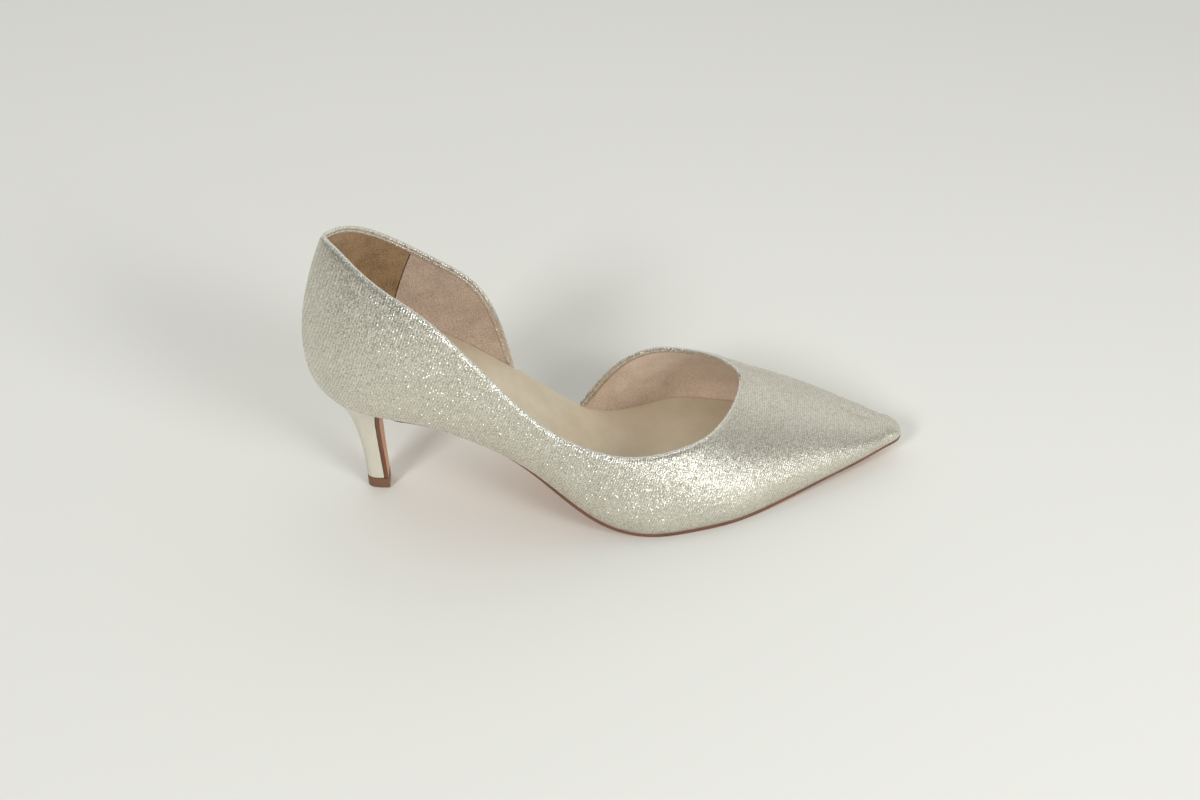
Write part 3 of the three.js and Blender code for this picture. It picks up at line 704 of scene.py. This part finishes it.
wall = last["wall"]
liningWall = layUpper(liningBuild["topGap"])
settle = ease(liningWall["up"] / liningBuild["calmFoot"])
settle = settle * ease(liningWall["down"] / liningBuild["calmTop"])
waves = softWrinkles(liningWall, liningBuild["wrinkleSize"], liningBuild["wrinkleStart"])
liningDepth = wall + liningBuild["wrinkle"] * waves * settle
liningDepth = liningDepth + laidCreases(liningWall, liningBuild["creases"]) * settle
nearRidge = onRidge[:, None] & (liningWall["down"] < liningBuild["calmRidge"])
liningDepth = np.where(nearRidge, wall, liningDepth)
lining = shellPiece("quarterLining", offset(liningWall, liningBuild["from"]),
                    offset(liningWall, liningDepth), [quarterSuede], ridgeSpan)

counterBuild = {
    "to": 0.167,  # share of the length, each side of the heel back
    "slant": 0.8,  # how much nearer the heel its front edge stands at the foot
    "columns": 90,
    "footGap": 1.5,  # mm
    "topGap": 2.6,
    "sunk": 0.1,  # into the lining
    "proud": 0.05,
    "thick": 0.4,
    "foot": 7,  # mm over which it thickens from its foot up
    "lip": 0.22,  # swelling beside the front edges
}
counterSteps = np.interp(
    np.linspace(-counterBuild["to"], counterBuild["to"], counterBuild["columns"]),
    np.array(collarAlongRow[:throatStep + 1]), collarSteps[:throatStep + 1])
counterColumns = collarColumns(counterSteps)
counterColumns[:, 0] *= counterBuild["slant"]
counterWall = layWall(counterColumns, evenRows, counterBuild["footGap"], counterBuild["topGap"])
fromFront = np.arange(counterBuild["columns"])
fromFront = np.minimum(fromFront, fromFront[::-1])[:, None]
rise = ease(counterWall["up"] / counterBuild["foot"])
lip = counterBuild["lip"] * np.exp(-((fromFront - 1.0) / 1.4) ** 2)
counterDepth = wall + counterBuild["proud"] + lip * rise
counterDepth = counterDepth + counterBuild["thick"] * rise * ease((fromFront + 0.6) / 1.2)
counter = shellPiece("counterLining", offset(counterWall, wall - counterBuild["sunk"]),
                     offset(counterWall, counterDepth), [counterSuede])
print("linings", len(lining.data.polygons), len(counter.data.polygons))


# the topline: rolled edge of the cloth and the lining edge, swept by Geometry Nodes
def linePiece(name, points, outward):
    # an open line in mm, with the way that faces out at each point
    mesh = bpy.data.meshes.new(name)
    mesh.from_pydata((points * mm).tolist(), [(i, i + 1) for i in range(len(points) - 1)], [])
    facing = mesh.attributes.new("outward", "FLOAT_VECTOR", "POINT")
    facing.data.foreach_set("vector", np.ascontiguousarray(outward, dtype=np.float32).ravel())
    piece = bpy.data.objects.new(name, mesh)
    scene.collection.objects.link(piece)
    return piece


def bakeTree(piece, tree, values):
    # sets the named inputs, keeps the result as a plain mesh and drops the modifier
    modifier = piece.modifiers.new(tree.name, "NODES")
    modifier.node_group = tree
    for socket in tree.interface.items_tree:
        if socket.item_type == "SOCKET" and socket.name in values:
            modifier[socket.identifier] = values[socket.name]
    done = piece.evaluated_get(bpy.context.evaluated_depsgraph_get())
    mesh = bpy.data.meshes.new_from_object(done)
    piece.modifiers.remove(modifier)
    piece.data = mesh
    mesh.name = piece.name
    mesh.shade_smooth()
    mesh.set_sharp_from_angle(angle=math.radians(50))
    return piece


barCorners = ["Outer Top", "Outer Foot", "Inner Foot", "Inner Top"]


def sweepTree(name, material):
    # a bar with rounded corners; its corners are given outwards and down the wall
    tree = bpy.data.node_groups.new(name, "GeometryNodeTree")
    sockets = [("Geometry", "NodeSocketGeometry")] + [(c, "NodeSocketVector") for c in barCorners]
    for label, kind in sockets + [("Rounding", "NodeSocketFloat"), ("Steps", "NodeSocketInt")]:
        tree.interface.new_socket(label, in_out="INPUT", socket_type=kind)
    tree.interface.new_socket("Geometry", in_out="OUTPUT", socket_type="NodeSocketGeometry")
    given = addNode(tree, "NodeGroupInput")
    line = addNode(tree, "GeometryNodeMeshToCurve", {"Mesh": given})
    facing = addNode(tree, "GeometryNodeInputNamedAttribute", {
        "Name": "outward"}, data_type="FLOAT_VECTOR")
    turned = addNode(tree, "GeometryNodeSetCurveNormal", {
        "Curve": line, "Normal": facing.outputs["Attribute"]}, mode="FREE")
    profile = addNode(tree, "GeometryNodeCurvePrimitiveQuadrilateral", {
        "Point " + str(i + 1): given.outputs[c] for i, c in enumerate(barCorners)}, mode="POINTS")
    rounded = addNode(tree, "GeometryNodeFilletCurve", {
        "Curve": profile, "Radius": given.outputs["Rounding"],
        "Count": given.outputs["Steps"], "Limit Radius": True}, mode="POLY")
    swept = addNode(tree, "GeometryNodeCurveToMesh", {
        "Curve": turned, "Profile Curve": rounded, "Fill Caps": True})
    whole = addNode(tree, "GeometryNodeRealizeInstances", {"Geometry": swept})
    dressed = addNode(tree, "GeometryNodeSetMaterial", {"Geometry": whole, "Material": material})
    addNode(tree, "NodeGroupOutput", {"Geometry": dressed})
    return tree


def sweepBar(name, line, material, corners, rounding, steps):
    # each corner says how far out and how far down the wall it stands, in mm
    values = {label: (out * mm, down * mm, 0) for label, (out, down) in zip(barCorners, corners)}
    values.update({"Rounding": rounding * mm, "Steps": steps})
    return bakeTree(linePiece(name, *line), sweepTree(name + "Tree", material), values)


def collarLine(count, depth):
    steps = np.linspace(0, lastStep, count)
    columns = collarColumns(steps)
    top, side, reach = columns[:, 1], columns[:, 2], columns[:, 3]
    edge, outward = bodyPoint(top, side, reach), bodyNormal(top, side, reach)
    return edge - outward * depth, outward


rollBuild = {
    "points": 560,
    "topDepth": 0.42,  # mm from the outside of the wall to the roll's outer top
    "footDepth": 0.20,
    "deep": 1.5,  # mm down the outside
    "inside": 1.6,
    "proud": 0.12,  # how far it stands inside the lining
    "rounding": 0.8,
    "steps": 6,
}
rollOut = wall / 2 - rollBuild["topDepth"], wall / 2 - rollBuild["footDepth"]
rollIn = -wall / 2 - rollBuild["proud"]
topRoll = sweepBar("toplineRoll", collarLine(rollBuild["points"], wall / 2), rolledGlitterPaintedHighlight, [
    (rollOut[0], 0), (rollOut[1], rollBuild["deep"]), (rollIn, rollBuild["inside"]), (rollIn, 0),
], rollBuild["rounding"], rollBuild["steps"])

# inside, the cloth is folded over in a second narrow row, then the lining edge shows
edgeBuild = {
    "sunk": 0.3,  # mm into the wall
    "steps": 3,
    "foldEdge": {"proud": 0.3, "from": 1.5, "to": 2.6, "rounding": 0.3},
    "liningEdge": {"proud": 0.26, "from": 2.5, "to": 3.3, "rounding": 0.22},
}


def makeEdge(name, material):
    row, sunk = edgeBuild[name], edgeBuild["sunk"]
    return sweepBar(name, collarLine(rollBuild["points"], wall), material, [
        (sunk, row["from"]), (sunk, row["to"]),
        (-row["proud"], row["to"]), (-row["proud"], row["from"]),
    ], row["rounding"], edgeBuild["steps"])


foldEdge = makeEdge("foldEdge", rolledGlitterPaintedHighlight)
liningEdge = makeEdge("liningEdge", edgeSuede)

# the counter's two front edges, turned under and dark
seamBuild = {
    "width": 0.55,
    "proud": 0.12,
    "deep": 0.35,
    "rounding": 0.1,
    "steps": 2,
    "rows": (3, -1),  # of the counter's rows, clear of the foot bed and the roll
}


def makeSeam(name, column):
    rows = slice(*seamBuild["rows"])
    line = offset(counterWall, counterDepth)[column, rows], -counterWall["normal"][column, rows]
    half, proud, deep = seamBuild["width"] / 2, seamBuild["proud"], seamBuild["deep"]
    return sweepBar(name, line, seamLeather, [
        (proud, -half), (proud, half), (-deep, half), (-deep, -half),
    ], seamBuild["rounding"], seamBuild["steps"])


innerSeam = makeSeam("innerCounterSeam", 0)
outerSeam = makeSeam("outerCounterSeam", -1)
print("topline", [len(piece.data.polygons) for piece in (topRoll, foldEdge, liningEdge)])

# the insole: a crowned foot bed with a soft rolled rim
insoleBuild = {
    "thick": 3.6,
    "toeThick": 2.0,
    "thinFrom": 0.7,  # shares of the length over which it thins
    "thinOver": 0.25,
    "endTurn": 0.965,  # just short of the toe tip
    "cutEase": 0.012,  # share of the length over which the rim moves out
    "gap": 0.3,  # mm to the inside of the wall
    "crown": 0.5,
    "round": 1.3,  # mm of rounding at the rim
    "columns": 190,
    "across": 34,
}
openFrom = -collarAlongRow[0]
openTo = collarAlongRow[-1]


def insoleRim(turn, side, height):
    # edge against the inside of the wall, at a height over its foot, found in small steps
    foot, ridge = featherPoint(turn, side), ridgePoint(turn)
    depth = wall + insoleBuild["gap"]
    around = np.full(turn.shape, 0.02)
    climb = np.maximum((ridge[..., 2] - foot[..., 2]) * 1.4, 8)
    for _ in range(14):
        spot = bodyPoint(turn, side, around) - bodyNormal(turn, side, around) * depth
        miss = height - (spot[..., 2] - bottomHeight(spot[..., 0]))
        around = np.clip(around + miss / climb, 0, 0.9)
    return spot


def roundedRim(across, width, radius):
    # how far the surface falls towards both ends of a strip
    fromRim = np.minimum(across, 1 - across)[None, :] * width
    return radius * (1 - np.sqrt(1 - np.clip(1 - fromRim / radius, 0, 1) ** 2))


def spread(outer, inner, across):
    return outer[:, None, :] + (inner - outer)[:, None, :] * across[None, :, None]


def makeInsole(build):
    turn = np.linspace(0.0, build["endTurn"], build["columns"])
    along = alongOf(turn)
    thin = ease((along - build["thinFrom"]) / build["thinOver"])
    thick = mix(build["thick"], build["toeThick"], thin)
    # the inner rim moves out to the feather line where the wall is cut away
    cut = build["cutEase"]
    bare = ease((along - openFrom) / cut) * ease((openTo - along) / cut)
    free = featherPoint(turn, 1.0)

    def rims(height):
        inner = insoleRim(turn, 1.0, height)
        return insoleRim(turn, -1.0, height), inner + (free - inner) * bare[:, None]

    across = (1 - np.cos(np.linspace(0, np.pi, build["across"]))) / 2
    outer, inner = rims(thick)
    width = np.linalg.norm(inner - outer, axis=1)[:, None]
    fall = np.minimum(roundedRim(across, width, build["round"]), 0.45 * thick[:, None])
    crown = build["crown"] * (1 - (2 * across[None, :] - 1) ** 2)
    top = spread(outer, inner, across)
    top[..., 2] = bottomHeight(top[..., 0]) + thick[:, None] - fall + crown
    low = spread(*rims(0 * thick), across)
    low[..., 2] = bottomHeight(low[..., 0])
    return shellPiece("footBed", top, low, [insoleLeather], sharp=60)


footBed = makeInsole(insoleBuild)
print("insole", len(footBed.data.polygons))


# the heel block, its top piece and the outsole with its flap, in mm
heelBuild = {
    "topPiece": 5.2,
    "seam": 0.3,
    "seatInset": 1.2,
    "flap": 1.6,
    "roundBack": 0.8,  # below 1, the back is fuller than a half circle
    "roundSide": 0.75,
    "seatSpread": 0.9,
    # how far the foot of the cover is tucked in, and its rise
    "tuck": [(0.55, 0.0), (0.2, 0.12), (0.0, 0.5)],
    # level, back, front, half width, flare
    "rows": [
        (0, -4.6, 2.4, 3.9, 0), (0.15, -4.9, 2.1, 4.2, 0), (0.32, -5.5, 1.8, 4.9, 0),
        (0.5, -6.8, 1.6, 5.9, 0), (0.63, -8.2, 1.7, 7.1, 0.01), (0.74, -10.2, 2.5, 8.7, 0.06),
        (0.83, -12.4, 4.3, 10.6, 0.2), (0.9, -14.4, 6.7, 12.6, 0.42), (0.955, -16.2, 10, 15, 0.7),
        (1, -17.6, 13.5, 18, 1),
    ],
    "levels": 84,
    "around": 96,
    "across": 24,
}
heelBack, heelFront, heelHalf, heelFlare = tableCurves(heelBuild["rows"])
heelBase = heelBuild["topPiece"] + heelBuild["seam"]
breastX = heelBuild["rows"][-1][2]
breastAlong = (breastX - last["heelBack"]) / last["length"]
breastTurn = float(turnOf(breastAlong))


def undersideHeight(x):
    return bottomHeight(x) - heelBuild["seam"] * np.hypot(1, bottomSlope(x))


def insetFeather(turn, side, inset, step=0.002):
    # the feather line moved in, square to itself; straight forward at the heel back
    here = featherPoint(turn, side)
    forward = featherPoint(np.clip(turn + step, 0, 1), side)
    forward = forward - featherPoint(np.clip(turn - step, 0, 1), side)
    reach = np.hypot(forward[..., 0], forward[..., 1])
    moved = here.copy()
    moved[..., 0] += side * forward[..., 1] * inset / reach
    moved[..., 1] -= side * forward[..., 0] * inset / reach
    behind = here.copy()
    behind[..., 0] += inset
    return np.where((turn < step)[..., None], behind, moved)


def roundPlan(back, front, half, u):
    # plan of the block, straight across the breast and round at the back
    angle = np.abs(u) * np.pi / 2
    x = front - (front - back) * np.cos(angle).clip(0) ** heelBuild["roundBack"]
    return x, np.sign(u) * half * np.sin(angle) ** heelBuild["roundSide"]


def heelOutline(level, u, draw=0.0):
    # u runs -1, 0, 1 from the outer breast corner round the back to the inner one
    level, u = np.broadcast_arrays(np.asarray(level, float), np.asarray(u, float))
    side = np.where(u < 0, -1.0, 1.0)
    stemX, stemY = roundPlan(
        heelBack(level) + draw, heelFront(level) - draw * 0.2, heelHalf(level) - draw, u)
    flare = np.clip(heelFlare(level), 0, 1)
    spreadTurn = breastTurn * np.abs(u) ** heelBuild["seatSpread"]
    seat = insetFeather(spreadTurn, side, heelBuild["seatInset"])
    x = mix(stemX, seat[..., 0], flare * (1 - np.abs(u) ** 6))
    y = mix(stemY, seat[..., 1], flare)
    return np.stack([x, y, heelBase + level * (undersideHeight(x) - heelBase)], -1)


def blockPiece(name, rings, lowHeight, highHeight, materials, sharp=40):
    # walls between rings and a cap on each end; the breast is the straight side
    levels, count = rings.shape[:2]
    across = heelBuild["across"]
    k = np.linspace(0, 1, across + 1)[1:-1]
    front = rings[:, -1:, :] + (rings[:, :1, :] - rings[:, -1:, :]) * k[None, :, None]
    rings = np.concatenate([rings, front], axis=1)
    whole = rings.shape[1]
    places = [tuple(p) for p in rings.reshape(-1, 3)]
    faces = []
    for j in range(levels - 1):
        for i in range(whole):
            n = (i + 1) % whole
            faces.append((j * whole + i, (j + 1) * whole + i, (j + 1) * whole + n, j * whole + n))
    half = (count - 1) // 2
    for ring, height, up in ((levels - 1, highHeight, True), (0, lowHeight, False)):
        spots = {}
        for i in range(half + 1):
            spots[i, 0], spots[i, across] = ring * whole + half - i, ring * whole + half + i
            for s in range(1, across):
                if i == half:
                    spots[i, s] = ring * whole + count - 1 + across - s
                else:
                    a, b = (np.array(places[spots[i, end]]) for end in (0, across))
                    place = mix(a, b, s / across)
                    place[2] = height(place[0])
                    spots[i, s] = len(places)
                    places.append(tuple(place))
        for i in range(half):
            for s in range(across):
                face = (spots[i, s], spots[i, s + 1], spots[i + 1, s + 1], spots[i + 1, s])
                faces.append(face[::-1] if up else face)
    return writePiece(name, places, faces, materials, sharp)


around = np.linspace(-1, 1, heelBuild["around"] + 1)
levels = np.linspace(0, 1, heelBuild["levels"])
tucked = [heelOutline(0, around, draw) + (0, 0, rise) for draw, rise in heelBuild["tuck"]]
stem = np.stack(tucked + [heelOutline(level, around) for level in levels[2:]])
heelCover = blockPiece("heelCover", stem, lambda x: heelBase, undersideHeight, [heelCloth])

topPieceBuild = {"lip": 0.1, "bevel": 0.35}


def topPieceRing(z, draw):
    out = topPieceBuild["lip"] - draw
    front = heelFront(0) + heelBuild["seam"] + heelBuild["flap"] + out
    x, y = roundPlan(heelBack(0) - out, front, heelHalf(0) + out, around)
    return np.stack([x, y, z + 0 * x], -1)


bevel = topPieceBuild["bevel"]
pieceHeight = heelBuild["topPiece"]
topPieceRings = np.stack([
    topPieceRing(0, bevel), topPieceRing(bevel * 0.3, bevel * 0.3), topPieceRing(bevel, 0),
    topPieceRing(pieceHeight / 2, 0), topPieceRing(pieceHeight - bevel * 0.6, 0),
    topPieceRing(pieceHeight, bevel * 0.6)])
topPiece = blockPiece("topPiece", topPieceRings, lambda x: 0, lambda x: pieceHeight,
                      [topPieceRubber], 50)
print("heel", len(heelCover.data.polygons), "top piece", len(topPiece.data.polygons))

soleBuild = {
    "columns": 150,
    "across": 26,
    "flapRows": 60,
    # share of the length, edge and middle thickness, inset from the feather line in mm
    "rows": [
        (0.14, 1.6, 2.4, 1.3), (0.22, 1.6, 2.7, 2.2), (0.3, 1.6, 3.0, 2.4), (0.37, 1.7, 2.95, 1.1),
        (0.45, 1.8, 2.8, 0.4), (0.54, 2.1, 2.4, 0.4), (0.62, 2.4, 2.4, 0.4), (0.7, 2.4, 2.4, 0.4),
        (0.8, 2.1, 2.2, 0.4), (1, 1.8, 1.9, 0.4),
    ],
    "bevel": 0.45,
    "toeTurn": 0.985,  # it starts just short of the toe tip
    "underBreast": 0.012,  # and bends down this share of the length before the breast
    "edgeFacing": 0.5,  # how far a face looks sideways to count as edge
    "toeFacing": 0.55,  # and how far forward, from this x on
    "toeFrom": 205.0,
}
soleEdge, soleMiddle, soleInset = tableCurves(soleBuild["rows"])


def makeOutsole(build):
    bendTurn = float(turnOf(breastAlong + build["underBreast"]))
    turn = np.linspace(build["toeTurn"], bendTurn, build["columns"])
    k = (1 - np.cos(np.linspace(0, np.pi, build["across"]))) / 2
    inset = soleInset(alongOf(turn))
    outer = insetFeather(turn, -1.0, inset)
    inner = insetFeather(turn, 1.0, inset)
    high = spread(outer, inner, k)
    high[..., 2] = undersideHeight(high[..., 0])
    slope = bottomSlope(high[..., 0])
    drop = unit(np.stack([slope, 0 * slope, -1 + 0 * slope], -1))
    bow = 1 - (2 * k - 1) ** 2
    along = alongOf(turn)[:, None]
    thick = mix(soleEdge(along), soleMiddle(along), bow[None, :])
    width = np.linalg.norm(inner - outer, axis=1)[:, None]
    low = high + drop * (thick - roundedRim(k, width, build["bevel"]))[..., None]
    low[..., 2] = np.maximum(low[..., 2], 0)
    flapHigh, flapLow = [], []
    for level in np.linspace(1, 0, build["flapRows"]):
        ends = heelOutline(level, np.array([-1.0, 1.0]))
        above, below = (heelOutline(np.clip(level + step, 0, 1), -1.0) for step in (0.03, -0.03))
        ahead = unit(np.array([above[2] - below[2], 0, below[0] - above[0]]))
        row = ends[0] + (ends[1] - ends[0]) * k[:, None]
        flapHigh.append(row + ahead * heelBuild["seam"])
        flapLow.append(row + ahead * (heelBuild["seam"] + heelBuild["flap"]))
    high = np.concatenate([high, flapHigh])
    low = np.concatenate([low, flapLow])
    return shellPiece("outsole", high, low, [soleLeather, soleEdgeLeather], sharp=35)


outsole = makeOutsole(soleBuild)
for face in outsole.data.polygons:
    # the cut edge is stained dark, round the sole and down both sides of the flap
    atToe = face.center.x > soleBuild["toeFrom"] * mm
    toeCap = atToe and face.normal.x > soleBuild["toeFacing"]
    if abs(face.normal.y) > soleBuild["edgeFacing"] or toeCap:
        face.material_index = 1
print("outsole", len(outsole.data.polygons))


# what each piece rides on and which packed part it stands for
upperPieces = (cloth, topRoll, foldEdge, innerSeam, outerSeam, lining, liningEdge, counter)
for node, slotName, pieces in (
    ("upper", "glitter_cloth", upperPieces),
    ("insole", "insole_leather", (footBed,)),
    ("outsole", "sole_leather", (outsole,)),
    ("heel", "heel_cover", (heelCover,)),
    ("top_piece", "top_piece_rubber", (topPiece,)),
):
    for piece in pieces:
        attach(piece, "root")
        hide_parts(node)

# the floor, the light and the camera
studio = {
    "floor": (0.80, 0.80, 0.755, 1),
    "floorSide": 6.0,  # metres from the middle to each side
    "floorDrop": 0.0002,
    "floorRough": 0.7,
    "floorGloss": 0.3,
    # tent round the shoe: brighter towards the window side
    "tentWay": (0.24, 0.80, 0.55),
    "tentBright": (1.0, 1.0, 0.975, 1),
    "tentDim": (0.215, 0.22, 0.208, 1),
    "tentStrength": 0.79,
    "tentRange": (-0.08, 0.70),
    "windowColour": (0.95, 0.975, 1.0),  # of the lights that show in reflections
    # azimuth from the outer side towards the toe, elevation, distance, width, height, power,
    # spread in degrees, and whether the light shows in reflections
    "lights": {
        "sideWindow": (36, 7, 1.6, 0.95, 0.30, 5.8, 180, True),
        "rightBox": (43, 31, 1.5, 0.52, 0.52, 1.8, 80, False),
        "leftBox": (-39, 35, 3.0, 0.7, 0.7, 27.0, 180, False),
        "leftGlint": (-39, 35, 3.0, 0.7, 0.7, 8.0, 180, True),
    },
    "aim": (0.1, 0.0, 0.03),
}


def makeFloor(look):
    side, low = look["floorSide"], -look["floorDrop"]
    mesh = bpy.data.meshes.new("floor")
    corners = [(-side, -side, low), (side, -side, low), (side, side, low), (-side, side, low)]
    mesh.from_pydata(corners, [], [(0, 1, 2, 3)])
    floor = bpy.data.objects.new("floor", mesh)
    scene.collection.objects.link(floor)
    material, tree, _ = startMaterial("floorPaper")
    finishMaterial(tree, {
        "Base Color": look["floor"], "Roughness": look["floorRough"],
        "Specular IOR Level": look["floorGloss"]})
    mesh.materials.append(material)


def standBack(azimuth, elevation):
    # way from the shoe to something that looks at it; azimuth 0 is the outer side
    az, el = math.radians(azimuth), math.radians(elevation)
    return Vector((math.sin(az) * math.cos(el), -math.cos(az) * math.cos(el), math.sin(el)))


def aimAt(thing, target):
    way = Vector(target) - thing.location
    thing.rotation_euler = way.to_track_quat("-Z", "Y").to_euler()


def addLights(look):
    world = bpy.data.worlds.new("studio")
    world.use_nodes = True
    tree = world.node_tree
    tree.nodes.clear()
    way = addNode(tree, "ShaderNodeTexCoord").outputs["Generated"]
    lit = vectorNode(tree, "DOT_PRODUCT", {0: way, 1: look["tentWay"]}).outputs["Value"]
    share = rampNode(tree, lit, *look["tentRange"])
    colour = blendColour(tree, share, look["tentDim"], look["tentBright"])
    background = addNode(tree, "ShaderNodeBackground", {
        "Color": colour, "Strength": look["tentStrength"]})
    addNode(tree, "ShaderNodeOutputWorld", {"Surface": background})
    scene.world = world
    for name, values in look["lights"].items():
        azimuth, elevation, away, width, height, power, spread, mirrored = values
        light = bpy.data.lights.new(name, "AREA")
        light.shape = "RECTANGLE"
        light.size = width
        light.size_y = height
        light.energy = power
        light.spread = math.radians(spread)
        light.color = look["windowColour"] if mirrored else (1, 1, 1)
        lamp = bpy.data.objects.new(name, light)
        lamp.location = Vector(look["aim"]) + standBack(azimuth, elevation) * away
        lamp.visible_glossy = mirrored
        aimAt(lamp, look["aim"])
        scene.collection.objects.link(lamp)


cameraView = {
    "target": (93.5, 13.0, 30.0),  # mm
    "away": 668.5,
    "azimuth": -3.0,
    "elevation": 41.0,
    "lens": 48.0,
    "sensor": 36.0,
}


def addCamera(view):
    back = standBack(view["azimuth"], view["elevation"])
    target = Vector(view["target"])
    lens = bpy.data.cameras.new("photoView")
    lens.lens = view["lens"]
    lens.sensor_width = view["sensor"]
    lens.sensor_fit = "HORIZONTAL"
    camera = bpy.data.objects.new("photoView", lens)
    camera.location = (target + back * view["away"]) * mm
    aimAt(camera, target * mm)
    scene.collection.objects.link(camera)
    scene.camera = camera
    scene.view_settings.view_transform = "Standard"


makeFloor(studio)
addLights(studio)
addCamera(cameraView)
print("floor, light and camera set")

bpy.context.view_layer.update()
